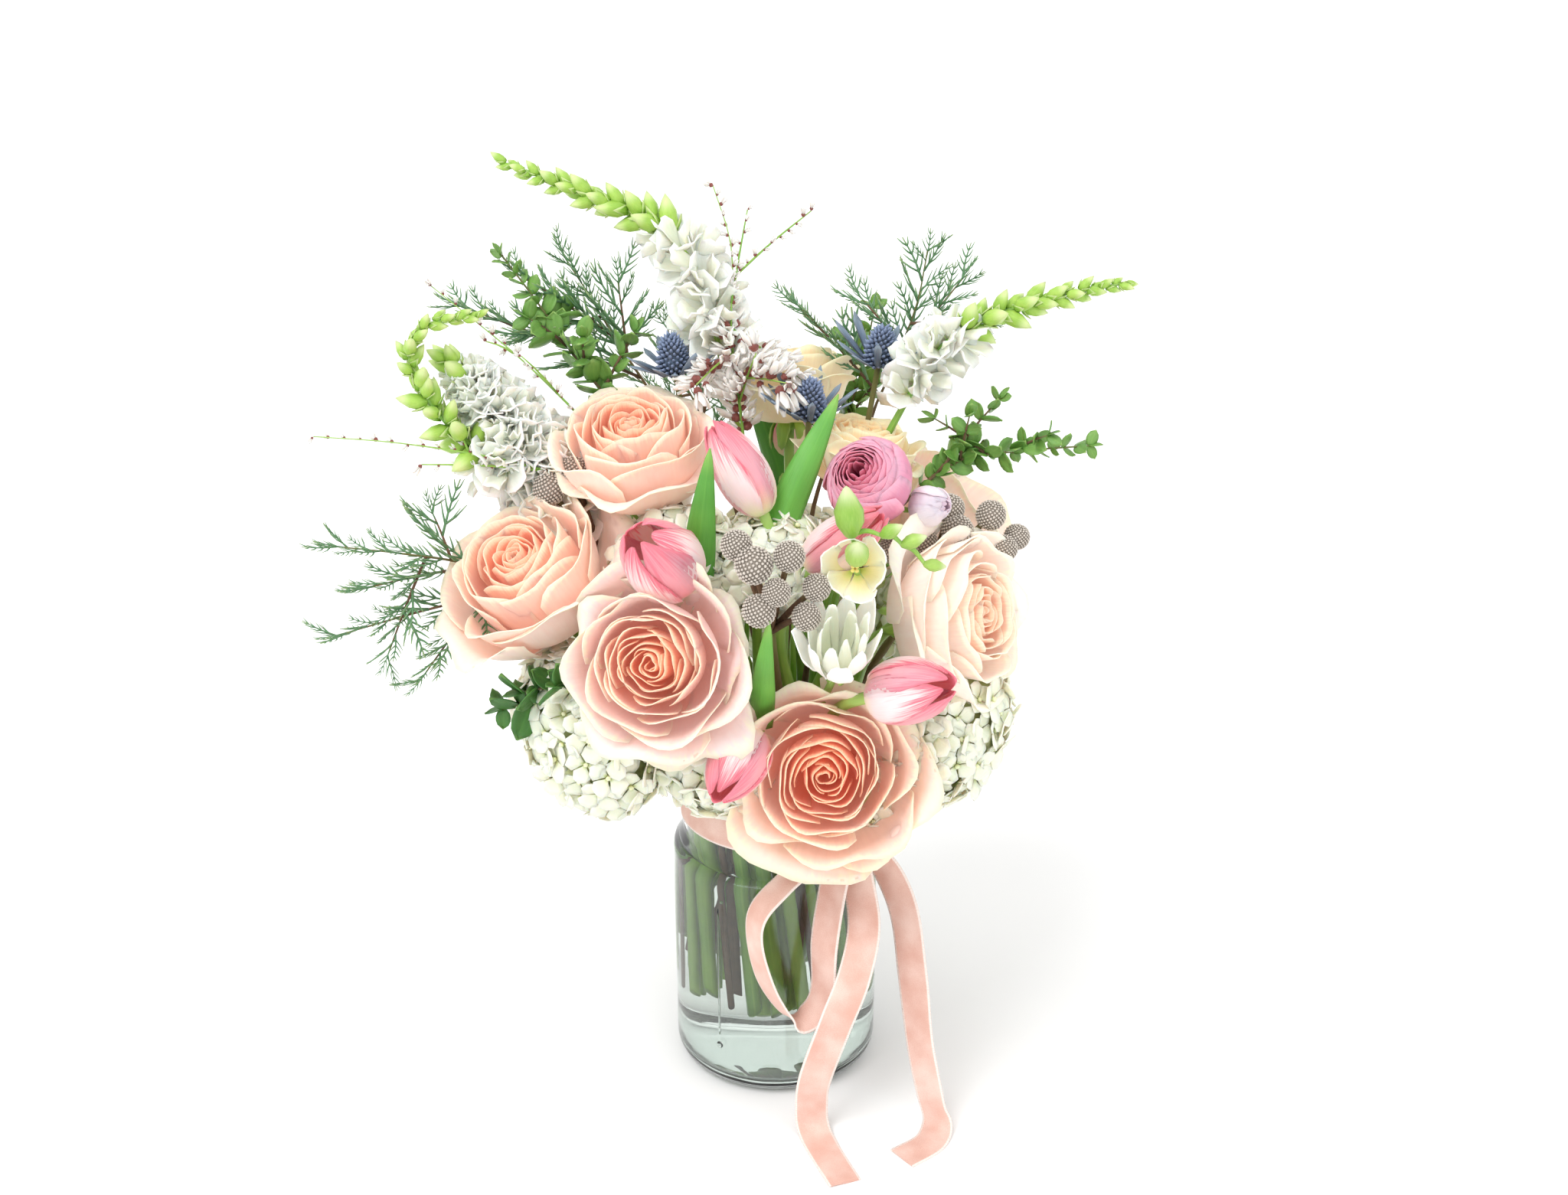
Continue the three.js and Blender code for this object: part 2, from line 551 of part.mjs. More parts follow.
/** The knot sits against the band, so what of it lies inside the band's outer face is cut away. */
function ribbonKnot() {
  const out = new THREE.Vector3(KNOT_AT[0], KNOT_AT[1], 0).normalize();
  const shape = head("ball", KNOT_SIZE, KNOT_SIZE, 10).scale(1, 0.78, 1);
  const clear = JAR_NECK_RADIUS + RIBBON_THICKNESS + 2 * GAP;
  const core = solid(turned([[0, 0], [clear, 0], [clear, JAR_HEIGHT], [0, JAR_HEIGHT]], JAR_SIDES));
  return solid(placed(shape, vector(KNOT_AT), out)).subtract(core);
}

/** A flat strip of ribbon along a curve. across(t) is the direction of its width. */
function ribbonStrip(points, across) {
  const curve = new THREE.CatmullRomCurve3(points.map(vector), false, "centripetal");
  const strip = new THREE.BoxGeometry(RIBBON_WIDTH, RIBBON_THICKNESS, 1, 1, 1, RIBBON_STEPS).translate(0, 0, 0.5);
  const position = strip.attributes.position;
  for (let i = 0; i < position.count; i++) {
    const t = THREE.MathUtils.clamp(position.getZ(i), 0, 1);
    const tangent = curve.getTangentAt(t);
    const side = across(t).clone().addScaledVector(tangent, -across(t).dot(tangent)).normalize();
    const normal = new THREE.Vector3().crossVectors(tangent, side);
    const p = curve.getPointAt(t).addScaledVector(side, position.getX(i)).addScaledVector(normal, position.getY(i));
    position.setXYZ(i, p.x, p.y, Math.max(p.z, 0));
  }
  return solid(strip);
}

const turning = (from, to) => (t) => vector(from).lerp(vector(to), t).normalize();

const RIBBON_PIECES = [
  {
    name: "ribbon_loop", across: turning([0.35, -0.9, 0], [0.8, -0.6, 0]),
    path: [[21, -52, 134], [4, -57, 122], [-9, -60, 104], [-5, -62, 76], [6, -63, 56], [14, -63, 55],
      [21, -62, 66], [22, -60, 92], [25, -56, 114], [27.5, -53, 127]],
  },
  {
    name: "ribbon_tail_long", across: turning([0.9, -0.44, 0], [0.93, 0.36, 0]),
    path: [[36.5, -50, 124], [39.5, -60, 102], [35, -71, 82], [27, -75, 60], [18, -74, 30], [16.5, -72, 13],
      [17.5, -74, 2.8], [22, -87, 0.6], [31, -110, 0.6]],
  },
  {
    name: "ribbon_tail_short", across: turning([0.9, -0.44, 0], [0.75, -0.65, 0]),
    path: [[42, -42, 131], [51, -46, 120], [58, -51, 102], [62, -55, 74], [66, -60, 40], [71, -66, 14],
      [74, -71, 3], [70, -82, 0.6], [57, -93, 0.6]],
  },
];

// ---------------------------------------------------------------- assembly
const bouquet = new THREE.Group();

function show(name, body, material) {
  const mesh = new THREE.Mesh(geometryOf(body), MATERIALS[material]());
  mesh.name = name;
  bouquet.add(mesh);
}

passThroughNeck(PLANTS);
PLANTS.forEach((plant, order) => {
  plant.stemLine = stemLine(plant, order);
});

const jarCut = jarEnvelope();
const ribbonSolids = RIBBON_PIECES.map(({ name, path, across }) => [name, ribbonStrip(path, across)]);
const stems = PLANTS.map((plant) => stemSolid(plant));
const stemCuts = PLANTS.map((plant) => stemSolid(plant, GAP));

show("jar", solid(turned(jarProfile(), JAR_SIDES)), "glass");
show("water", largestPiece(stemCuts.reduce((water, cut) => water.subtract(cut), waterSolid())), "water");
show("ribbon_band", ribbonBand(), "ribbon");
show("ribbon_knot", ribbonKnot(), "ribbon");
ribbonSolids.forEach(([name, body]) => show(name, body, "ribbon"));

// Heads give way to the jar, to other plants' stems, and to the heads placed before them.
const headCuts = [];
PLANTS.forEach((plant, i) => {
  let grown = joined(grownParts(plant, 0)).subtract(jarCut);
  stemCuts.forEach((cut, j) => {
    if (j !== i) grown = grown.subtract(cut);
  });
  headCuts.forEach((cut) => {
    grown = grown.subtract(cut);
  });
  headCuts.push(joined(grownParts(plant, GAP)));
  show(plant.name, largestPiece(stems[i].add(grown)), plant.material);
});

export default bouquet;
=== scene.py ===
"""Roses in a vase: a mixed bouquet of cut stems in a glass canning jar, tied with velvet ribbon.

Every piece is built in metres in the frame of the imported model. A plant finds its foot, its stem and
the seat of its head on its own node of that model, and grows its petals or leaves from there.
"""
import logging
import math
from dataclasses import dataclass, field
from enum import Enum
from typing import Callable, Sequence

import bpy
import numpy as np
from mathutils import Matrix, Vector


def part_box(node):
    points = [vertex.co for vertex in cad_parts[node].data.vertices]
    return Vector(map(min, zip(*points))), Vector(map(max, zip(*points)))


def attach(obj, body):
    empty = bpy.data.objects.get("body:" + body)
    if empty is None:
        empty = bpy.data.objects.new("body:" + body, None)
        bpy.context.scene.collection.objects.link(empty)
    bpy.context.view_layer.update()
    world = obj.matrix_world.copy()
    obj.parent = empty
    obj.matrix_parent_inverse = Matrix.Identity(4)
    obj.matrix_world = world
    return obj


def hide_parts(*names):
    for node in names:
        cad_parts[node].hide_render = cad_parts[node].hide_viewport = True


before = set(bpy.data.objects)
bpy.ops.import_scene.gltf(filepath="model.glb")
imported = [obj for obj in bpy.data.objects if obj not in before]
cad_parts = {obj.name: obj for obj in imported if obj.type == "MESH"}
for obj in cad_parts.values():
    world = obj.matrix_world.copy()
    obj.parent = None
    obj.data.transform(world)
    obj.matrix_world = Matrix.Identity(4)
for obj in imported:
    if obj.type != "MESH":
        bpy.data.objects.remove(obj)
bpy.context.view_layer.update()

BODY = "root"
LOG = logging.getLogger("roses_in_a_vase")
MM = 0.001
RELIEF_STRENGTH = 0.7
GOLDEN_TURN = math.radians(137.508)
Array = np.ndarray
Triple = tuple[float, float, float]


# ------------------------------------------------------------------------------------ small maths
def unit(vector: Sequence[float]) -> Array:
    """The vector at length one."""
    v = np.asarray(vector, dtype=float)
    return v / np.linalg.norm(v)


def ease(x: Array | float, low: float, high: float) -> Array | float:
    """A smooth step from 0 at low to 1 at high."""
    t = np.clip((np.asarray(x, dtype=float) - low) / (high - low), 0.0, 1.0)
    return t * t * (3 - 2 * t)


def basis(direction: Sequence[float], roll: float = 0.0) -> Array:
    """Axes for a thing that stands along a direction.

    Args:
        direction: where the thing's +Z points.
        roll: a turn about that direction, in radians.

    Returns:
        A 3 by 3 array whose columns are the thing's X, Y and Z.
    """
    z = unit(direction)
    side = np.array([0.0, 0.0, 1.0]) if abs(z[2]) < 0.9 else np.array([0.0, 1.0, 0.0])
    x = unit(np.cross(side, z))
    y = np.cross(z, x)
    cos, sin = math.cos(roll), math.sin(roll)
    return np.stack([x * cos + y * sin, y * cos - x * sin, z], axis=1)


def euler_of(axes: Array) -> Triple:
    """The XYZ Euler angles of a 3 by 3 array of axes."""
    pitch = -math.asin(max(-1.0, min(1.0, axes[2, 0])))
    return (math.atan2(axes[2, 1], axes[2, 2]), pitch, math.atan2(axes[1, 0], axes[0, 0]))


def spline(points: Array, count: int) -> Array:
    """Points evenly spaced along a smooth curve through the given ones.

    Args:
        points: the n by 3 points that the curve passes.
        count: how many points to return.

    Returns:
        A count by 3 array.
    """
    p = np.asarray(points, dtype=float)
    padded = np.vstack([2 * p[0] - p[1], p, 2 * p[-1] - p[-2]])
    fine = []
    for i in range(1, len(padded) - 2):
        a, b, c, d = padded[i - 1:i + 3]
        t = np.linspace(0, 1, 12, endpoint=False)[:, None]
        fine.append(0.5 * (2 * b + (c - a) * t + (2 * a - 5 * b + 4 * c - d) * t**2
                           + (3 * b - a - 3 * c + d) * t**3))
    fine = np.vstack([*fine, p[-1:]])
    run = np.concatenate([[0], np.cumsum(np.linalg.norm(np.diff(fine, axis=0), axis=1))])
    at = np.linspace(0, run[-1], count)
    return np.stack([np.interp(at, run, fine[:, k]) for k in range(3)], axis=1)


def golden_sphere(count: int) -> Array:
    """Points spread evenly over a sphere of radius one, as a count by 3 array."""
    k = np.arange(count) + 0.5
    z = 1 - 2 * k / count
    ring, turn = np.sqrt(1 - z * z), k * GOLDEN_TURN
    return np.stack([ring * np.cos(turn), ring * np.sin(turn), z], axis=1)


def bezier(t: Array, *points: tuple[Array | float, Array | float]) -> tuple[Array, Array]:
    """A cubic curve in two coordinates, at parameters t, from its four control points."""
    weights = [(1 - t)**3, 3 * t * (1 - t)**2, 3 * t**2 * (1 - t), t**3]
    first = sum(w * p[0] for w, p in zip(weights, points))
    second = sum(w * p[1] for w, p in zip(weights, points))
    return first, second


def linear(code: str) -> tuple[float, float, float, float]:
    """A #rrggbb colour as linear red, green, blue and alpha."""
    parts = [int(code[i:i + 2], 16) / 255 for i in (1, 3, 5)]
    rgb = [c / 12.92 if c <= 0.04045 else ((c + 0.055) / 1.055)**2.4 for c in parts]
    return (rgb[0], rgb[1], rgb[2], 1.0)


# ------------------------------------------------------------------------------------ node graphs
class Wire:
    """One output socket of a shader graph, with arithmetic that adds Math nodes."""

    def __init__(self, graph: "Graph", socket: bpy.types.NodeSocket) -> None:
        """Wraps a socket of a graph."""
        self.graph = graph
        self.socket = socket

    def _math(self, operation: str, *values: "Wire | float") -> "Wire":
        """The result of a Math node on some values."""
        return self.graph.node("ShaderNodeMath", {"operation": operation}, dict(enumerate(values)))

    def __add__(self, other: "Wire | float") -> "Wire":
        """Sum."""
        return self._math("ADD", self, other)

    __radd__ = __add__

    def __mul__(self, other: "Wire | float") -> "Wire":
        """Product."""
        return self._math("MULTIPLY", self, other)

    __rmul__ = __mul__

    def __sub__(self, other: "Wire | float") -> "Wire":
        """Difference."""
        return self._math("SUBTRACT", self, other)

    def __rsub__(self, other: "Wire | float") -> "Wire":
        """Reflected difference."""
        return self._math("SUBTRACT", other, self)

    def __abs__(self) -> "Wire":
        """Size without its sign."""
        return self._math("ABSOLUTE", self)

    def step(self, low: float, high: float) -> "Wire":
        """A smooth step from 0 at low to 1 at high."""
        sockets = {"Value": self, "From Min": low, "From Max": high}
        return self.graph.node("ShaderNodeMapRange", {"interpolation_type": "SMOOTHSTEP"}, sockets)


class Graph:
    """Builds a node tree: each node in one call, with its settings first and then its sockets."""

    def __init__(self, tree: bpy.types.NodeTree) -> None:
        """Empties a tree and builds in it."""
        self.tree = tree
        tree.nodes.clear()

    def node(self, kind: str, settings: dict | None = None, sockets: dict | None = None,
             out: int | str = 0) -> Wire:
        """Adds one node.

        Args:
            kind: the node's type.
            settings: its properties, set first.
            sockets: input name or number to a value or a Wire.
            out: the output that the result wraps.

        Returns:
            A Wire on that output.
        """
        made = self.tree.nodes.new(kind)
        for key, value in (settings or {}).items():
            setattr(made, key, value)
        for key, value in (sockets or {}).items():
            if isinstance(value, Wire):
                self.tree.links.new(value.socket, made.inputs[key])
            else:
                made.inputs[key].default_value = value
        return Wire(self, made.outputs[out]) if made.outputs else Wire(self, None)

    def spot(self) -> tuple[Wire, Wire]:
        """The place across and along the surface, each from 0 to 1."""
        across = self.node("ShaderNodeSeparateXYZ", None, {0: self.node("ShaderNodeUVMap")})
        return across, Wire(self, across.socket.node.outputs["Y"])

    def where(self) -> Wire:
        """The place in the object's own coordinates."""
        return self.node("ShaderNodeTexCoord", out="Object")

    def vector(self, x: Wire | float, y: Wire | float, z: Wire | float) -> Wire:
        """Three numbers as a vector."""
        return self.node("ShaderNodeCombineXYZ", None, {"X": x, "Y": y, "Z": z})

    def attribute(self, name: str) -> Wire:
        """A number stored on the mesh under a name."""
        return self.node("ShaderNodeAttribute", {"attribute_name": name}, out="Fac")

    def blend(self, share: Wire | float, low: Wire | Sequence[float], high: Wire | Sequence[float]) -> Wire:
        """Colour low where share is 0 and high where it is 1."""
        return self.node("ShaderNodeMix", {"data_type": "RGBA"}, {0: share, 6: low, 7: high}, out=2)

    def noise(self, scale: float, vector: Wire, detail: float = 3.0) -> Wire:
        """Cloudy noise from 0 to 1 over a vector."""
        return self.node("ShaderNodeTexNoise", None, {"Vector": vector, "Scale": scale, "Detail": detail})


class Slot(Enum):
    """The record's material slots; each finish carries one."""

    GLASS = "glass"
    WATER = "water"
    VELVET = "velvet"
    ROSE = "rose"
    TULIP = "tulip"
    RANUNCULUS = "ranunculus"
    FREESIA = "freesia"
    LISIANTHUS = "lisianthus"
    BRUNIA = "brunia"
    HYDRANGEA = "hydrangea"
    SNAPDRAGON = "snapdragon"
    STOCK = "stock"
    ERYNGIUM = "eryngium"
    GENISTA = "genista"
    BOXWOOD = "boxwood"
    CYPRESS = "cypress"
    FOLIAGE = "foliage"


# ------------------------------------------------------------------------------------ finishes
@dataclass(frozen=True)
class Finish:
    """What every finish has: its material's name and the record's slot."""

    name: str
    slot: Slot

    def material(self) -> bpy.types.Material:
        """The finish as a material, made once."""
        found = bpy.data.materials.get(self.name)
        if found:
            return found
        made = bpy.data.materials.new(self.name)
        made.use_nodes = True
        self.paint(Graph(made.node_tree))
        return made

    def paint(self, g: Graph) -> None:
        """Builds the material's nodes."""
        raise NotImplementedError

    @staticmethod
    def surface(g: Graph, colour: Wire, roughness: Wire | float, bump: Wire | None, depth: float,
                constants: dict | None = None) -> None:
        """Ends a graph in one shader.

        Args:
            g: the graph.
            colour: the base colour.
            roughness: the roughness, a number or a Wire.
            bump: the relief's height, or None.
            depth: how far the relief stands, in metres.
            constants: further shader sockets set to fixed values.
        """
        sockets = {"Base Color": colour, "Roughness": roughness, **(constants or {})}
        if bump is not None:
            relief = {"Height": bump, "Distance": depth, "Strength": RELIEF_STRENGTH}
            sockets["Normal"] = g.node("ShaderNodeBump", None, relief)
        shader = g.node("ShaderNodeBsdfPrincipled", None, sockets)
        g.node("ShaderNodeOutputMaterial", None, {"Surface": shader})


@dataclass(frozen=True)
class PetalFinish(Finish):
    """A petal: its colour runs from heart to outside, with a base, a rim and streaks along it."""

    heart: str = "#fbab90"
    outside: str = "#ffdfd2"
    rim: str = "#f8f2d0"
    base: str = "#fbdcc4"
    rim_from: float = 0.86
    base_to: float = 0.2
    rim_strength: float = 0.62
    streak: float = 0.25
    shade: float = 0.3
    roughness: float = 0.5
    # glow: painted light, an emission in the petal's own colour that stands in for light passing through the
    # petal
    glow: float = 0.08

    def paint(self, g: Graph) -> None:
        """Mixes the colours by the petal's age, and by the place across and along it."""
        place, along = g.spot()
        across = abs(place - 0.5) * 2.0
        age = g.attribute("age")
        tint = g.attribute("tint")
        streaks = g.noise(2.4, g.vector(place * 14.0, along * 1.3, tint * 9.0))
        cloud = g.noise(150.0, g.where(), 2.0)
        body = g.blend(age.step(0.1, 0.95), linear(self.heart), linear(self.outside))
        shadow = (1.0 - along.step(0.1, 0.85)) * self.shade
        body = g.blend(shadow, body, linear(self.heart))
        edge = (along + (streaks - 0.5) * self.streak).step(self.rim_from, 1.0)
        sides = (across * along.step(0.25, 0.7) + (streaks - 0.5) * self.streak).step(self.rim_from, 1.0)
        rim = g.node("ShaderNodeMath", {"operation": "MAXIMUM"}, {0: edge, 1: sides * 0.7})
        body = g.blend(rim * (age * 0.6 + 0.4) * self.rim_strength, body, linear(self.rim))
        body = g.blend(1.0 - along.step(0.0, self.base_to), body, linear(self.base))
        tone = (streaks - 0.5) * 0.14 + (cloud - 0.5) * 0.10 + (tint - 0.5) * 0.14 + 1.0
        body = g.node("ShaderNodeVectorMath", {"operation": "SCALE"}, {0: body, "Scale": tone})
        relief = streaks * 0.7 + cloud * 0.3
        rough = streaks * 0.12 + (self.roughness - 0.06)
        # The emission is painted light: the petal glows faintly in its own colour, in place of light that
        # passes through it.
        soft = {"Subsurface Weight": 0.45, "Subsurface Radius": (1.0, 0.6, 0.45), "Subsurface Scale": 0.0025,
                "Sheen Weight": 0.15, "Emission Color": body, "Emission Strength": self.glow}
        self.surface(g, body, rough, relief, 0.00025, soft)


@dataclass(frozen=True)
class GreenFinish(Finish):
    """Leaves, stems, buds and twigs: mottled along their length, with a paler tip or back."""

    dark: str = "#3f7d2c"
    light: str = "#7fb458"
    tip: str = "#a8cf6a"
    tip_from: float = 0.7
    grain: float = 60.0
    relief: float = 0.0003
    roughness: float = 0.45

    def paint(self, g: Graph) -> None:
        """Mixes two greens by noise and by the place along the piece."""
        place, along = g.spot()
        tint = g.attribute("tint")
        mottle = g.noise(self.grain, g.where())
        fibres = g.noise(3.0, g.vector(place * 22.0, along * 2.0, tint))
        rib = 1.0 - (abs(place - 0.5) * 2.0).step(0.0, 0.14)
        share = (mottle * 0.5 + fibres * 0.35 + tint * 0.4 - 0.1).step(0.15, 0.85)
        body = g.blend(share, linear(self.dark), linear(self.light))
        body = g.blend(rib * 0.35, body, linear(self.light))
        body = g.blend(along.step(self.tip_from, 1.0) * 0.7, body, linear(self.tip))
        rough = mottle * 0.2 + (self.roughness - 0.1)
        soft = {"Subsurface Weight": 0.06, "Subsurface Scale": 0.002}
        self.surface(g, body, rough, fibres * 0.6 + mottle * 0.4, self.relief, soft)


@dataclass(frozen=True)
class VelvetFinish(Finish):
    """Velvet ribbon: a soft pile with a woven lighter selvedge down both edges."""

    pile: str = "#dcab9b"
    bloom: str = "#f0d2c6"
    edge: str = "#fbece4"

    def paint(self, g: Graph) -> None:
        """Mottles the pile, and lightens the edges across the ribbon."""
        place, along = g.spot()
        across = abs(place - 0.5) * 2.0
        where = g.where()
        crush = g.noise(70.0, where, 2.0)
        fibre = g.noise(2400.0, where, 1.0)
        body = g.blend((crush * 0.8 + fibre * 0.3).step(0.3, 0.85), linear(self.pile), linear(self.bloom))
        body = g.blend(across.step(0.84, 0.93), body, linear(self.edge))
        cord = g.node("ShaderNodeMath", {"operation": "SINE"}, {0: along * 900.0}) * across.step(0.84, 0.9)
        soft = {"Sheen Weight": 0.65, "Sheen Roughness": 0.4, "Sheen Tint": linear("#ffe3d8")}
        self.surface(g, body, fibre * 0.1 + 0.82, fibre * 0.8 + cord * 0.4, 0.0003, soft)


@dataclass(frozen=True)
class GrainFinish(Finish):
    """Small rough things, such as brunia balls and thistle cones: dark in the hollows, pale on the points."""

    hollow: str = "#857a6e"
    point: str = "#b9afa4"
    roughness: float = 0.85

    def paint(self, g: Graph) -> None:
        """Colours each grain from its foot to its tip."""
        along = g.spot()[1]
        tint = g.attribute("tint")
        noise = g.noise(900.0, g.where())
        share = (along * 0.75 + tint * 0.35 + (noise - 0.5) * 0.5).step(0.1, 0.95)
        body = g.blend(share, linear(self.hollow), linear(self.point))
        self.surface(g, body, noise * 0.15 + self.roughness - 0.1, noise, 0.0001, {"Sheen Weight": 0.2})


@dataclass(frozen=True)
class ClearFinish(Finish):
    """Glass or water: clear, with a faint tint and a slightly uneven surface."""

    tint: str = "#eef7f2"
    index: float = 1.45
    wave: float = 0.0
    wave_size: float = 30.0

    def paint(self, g: Graph) -> None:
        """A clear shader with gentle waves in its surface."""
        waves = g.noise(self.wave_size, g.where(), 2.0)
        shade = g.blend(waves * 0.25, linear(self.tint), linear("#ffffff"))
        self.surface(g, shade, waves * 0.02, waves, self.wave,
                     {"Transmission Weight": 1.0, "IOR": self.index, "Specular IOR Level": 0.5})


@dataclass(frozen=True)
class FloorFinish(Finish):
    """The pale matt table."""

    def paint(self, g: Graph) -> None:
        """Almost white, with a trace of mottling."""
        noise = g.noise(6.0, g.where())
        self.surface(g, g.blend(noise, linear("#f8f8f8"), linear("#fdfdfd")), 0.9, None, 0.0)


# ------------------------------------------------------------------------------------ mesh building
def ring_faces(rows: int, sides: int) -> list[tuple[int, ...]]:
    """The faces of stacked rings of points, closed at each end by a fan to a last pair of points.

    Args:
        rows: how many rings there are.
        sides: how many points each ring has.

    Returns:
        The faces, as indices into the rings' points and then the low and the high end's point.
    """
    low, high, last = rows * sides, rows * sides + 1, (rows - 1) * sides
    turn = [(s, (s + 1) % sides) for s in range(sides)]
    walls = [(r * sides + s, r * sides + n, (r + 1) * sides + n, (r + 1) * sides + s)
             for r in range(rows - 1) for s, n in turn]
    ends = [face for s, n in turn for face in ((low, n, s), (high, last + s, last + n))]
    return walls + ends


class Skin:
    """Gathers closed surfaces, each with its UVs, age and tint, and makes one mesh of them."""

    def __init__(self) -> None:
        """Starts empty."""
        self.points: list[Array] = []
        self.faces: list[tuple[int, ...]] = []
        self.marks: list[Array] = []
        self.count = 0

    def add(self, points: Array, faces: Sequence[tuple[int, ...]], uv: Array, age: float,
            tint: float) -> None:
        """Adds one closed surface.

        Args:
            points: its n by 3 points.
            faces: its faces, as indices into those points.
            uv: the n by 2 place of each point across and along the surface.
            age: 0 at the heart of a flower and 1 at its outside.
            tint: a random share that varies the colour.
        """
        self.faces.extend(tuple(i + self.count for i in face) for face in faces)
        self.points.append(points)
        marks = np.column_stack([uv, np.full(len(points), age), np.full(len(points), tint)])
        self.marks.append(marks)
        self.count += len(points)

    def take(self, other: "Skin", carry: Callable[[Array], Array], age: float, tint: float,
             fade: float = 1.0) -> None:
        """Adds another skin's one surface in its place.

        Args:
            other: the skin.
            carry: takes its points to their place.
            age: see add.
            tint: see add.
            fade: a factor on its UVs.
        """
        self.add(carry(other.points[0]), other.faces, other.marks[0][:, :2] * fade, age, tint)

    def sheet(self, grid: Array, thickness: float, age: float = 0.5, tint: float = 0.5) -> None:
        """Adds a thin closed sheet, such as a petal, from its middle surface.

        Args:
            grid: rows along the sheet by columns across it by 3.
            thickness: how thick it is.
            age: see add.
            tint: see add.
        """
        rows, cols = grid.shape[:2]
        normal = np.cross(np.gradient(grid, axis=1), np.gradient(grid, axis=0))
        normal /= np.linalg.norm(normal, axis=2, keepdims=True) + 1e-12
        front, back = grid + normal * thickness / 2, grid - normal * thickness / 2
        index = np.arange(rows * cols).reshape(rows, cols)
        a, b, c, d = index[:-1, :-1], index[:-1, 1:], index[1:, 1:], index[1:, :-1]
        quads = np.stack([a, b, c, d], axis=-1).reshape(-1, 4)
        lap = rows * cols
        rim = np.concatenate([index[0, :-1], index[:-1, -1], index[-1, :0:-1], index[:0:-1, 0]])
        following = np.roll(rim, -1)
        sides = np.stack([rim + lap, following + lap, following, rim], axis=-1)
        faces = np.concatenate([quads, quads[:, ::-1] + lap, sides])
        across, along = np.meshgrid(np.linspace(0, 1, cols), np.linspace(0, 1, rows))
        uv = np.tile(np.column_stack([across.ravel(), along.ravel()]), (2, 1))
        points = np.vstack([front.reshape(-1, 3), back.reshape(-1, 3)])
        self.add(points, [tuple(f) for f in faces], uv, age, tint)

    def tube(self, line: Array, radii: Sequence[float] | float, sides: int = 8, age: float = 0.5,
             tint: float = 0.5) -> None:
        """Adds a round closed tube along a line.

        Args:
            line: the n by 3 points of its middle.
            radii: one radius, or one for each point.
            sides: the number of sides.
            age: see add.
            tint: see add.
        """
        count = len(line)
        radii = np.broadcast_to(np.asarray(radii, dtype=float), (count,))
        tangents = np.gradient(line, axis=0)
        side = basis(tangents[0])[:, 0]
        rings = []
        for point, tangent, radius in zip(line, tangents, radii):
            tangent = unit(tangent)
            side = unit(side - tangent * side.dot(tangent))
            other = np.cross(tangent, side)
            angle = np.arange(sides) * 2 * math.pi / sides
            rings.append(point + radius * (np.cos(angle)[:, None] * side + np.sin(angle)[:, None] * other))
        points = np.vstack([*rings, line[:1], line[-1:]])
        across = np.tile(np.abs(np.arange(sides) / sides - 0.5) * 2, count)
        along = np.repeat(np.linspace(0, 1, count), sides)
        uv = np.vstack([np.column_stack([across, along]), [[0.5, 0.0], [0.5, 1.0]]])
        self.add(points, ring_faces(count, sides), uv, age, tint)

    def turned(self, profile: Sequence[tuple[float, float]], sides: int, age: float = 0.5,
               tint: float = 0.5) -> None:
        """Adds a solid of revolution about Z from (radius, height) points that start and end on the axis."""
        ring = np.array(profile[1:-1])
        angle = np.arange(sides) * 2 * math.pi / sides
        points = [np.column_stack([r * np.cos(angle), r * np.sin(angle), np.full(sides, z)]) for r, z in ring]
        rows = len(ring)
        ends = [[0, 0, profile[0][1]], [0, 0, profile[-1][1]]]
        along = np.repeat(np.linspace(0, 1, rows), sides)
        across = np.tile(np.arange(sides) / sides, rows)
        uv = np.vstack([np.column_stack([across, along]), [[0.5, 0], [0.5, 1]]])
        self.add(np.vstack([*points, ends]), ring_faces(rows, sides), uv, age, tint)

    def mesh(self, name: str) -> bpy.types.Mesh:
        """The gathered surfaces, in millimetres, as one smooth Blender mesh in metres."""
        mesh = bpy.data.meshes.new(name)
        mesh.from_pydata((np.vstack(self.points) * MM).tolist(), [], self.faces)
        mesh.polygons.foreach_set("use_smooth", [True] * len(mesh.polygons))
        marks = np.vstack(self.marks)
        corner = np.empty(len(mesh.loops), dtype=np.int32)
        mesh.loops.foreach_get("vertex_index", corner)
        mesh.uv_layers.new(name="UVMap").data.foreach_set("uv", marks[corner, :2].ravel())
        for column, attribute in ((2, "age"), (3, "tint")):
            mesh.attributes.new(attribute, "FLOAT", "POINT").data.foreach_set("value", marks[:, column])
        mesh.update()
        return mesh


def show(mesh: bpy.types.Mesh, finish: Finish, *nodes: str) -> bpy.types.Object:
    """Puts a finished mesh in the scene as a piece.

    Args:
        mesh: its mesh, in place.
        finish: its finish.
        *nodes: the nodes that it stands for.

    Returns:
        The piece's object.
    """
    piece = bpy.data.objects.new(mesh.name, mesh)
    bpy.context.scene.collection.objects.link(piece)
    mesh.materials.clear()
    mesh.materials.append(finish.material())
    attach(piece, BODY)
    if nodes:
        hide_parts(*nodes)
    LOG.info("%-28s %7d faces  %s", mesh.name, len(mesh.polygons), finish.name)
    return piece


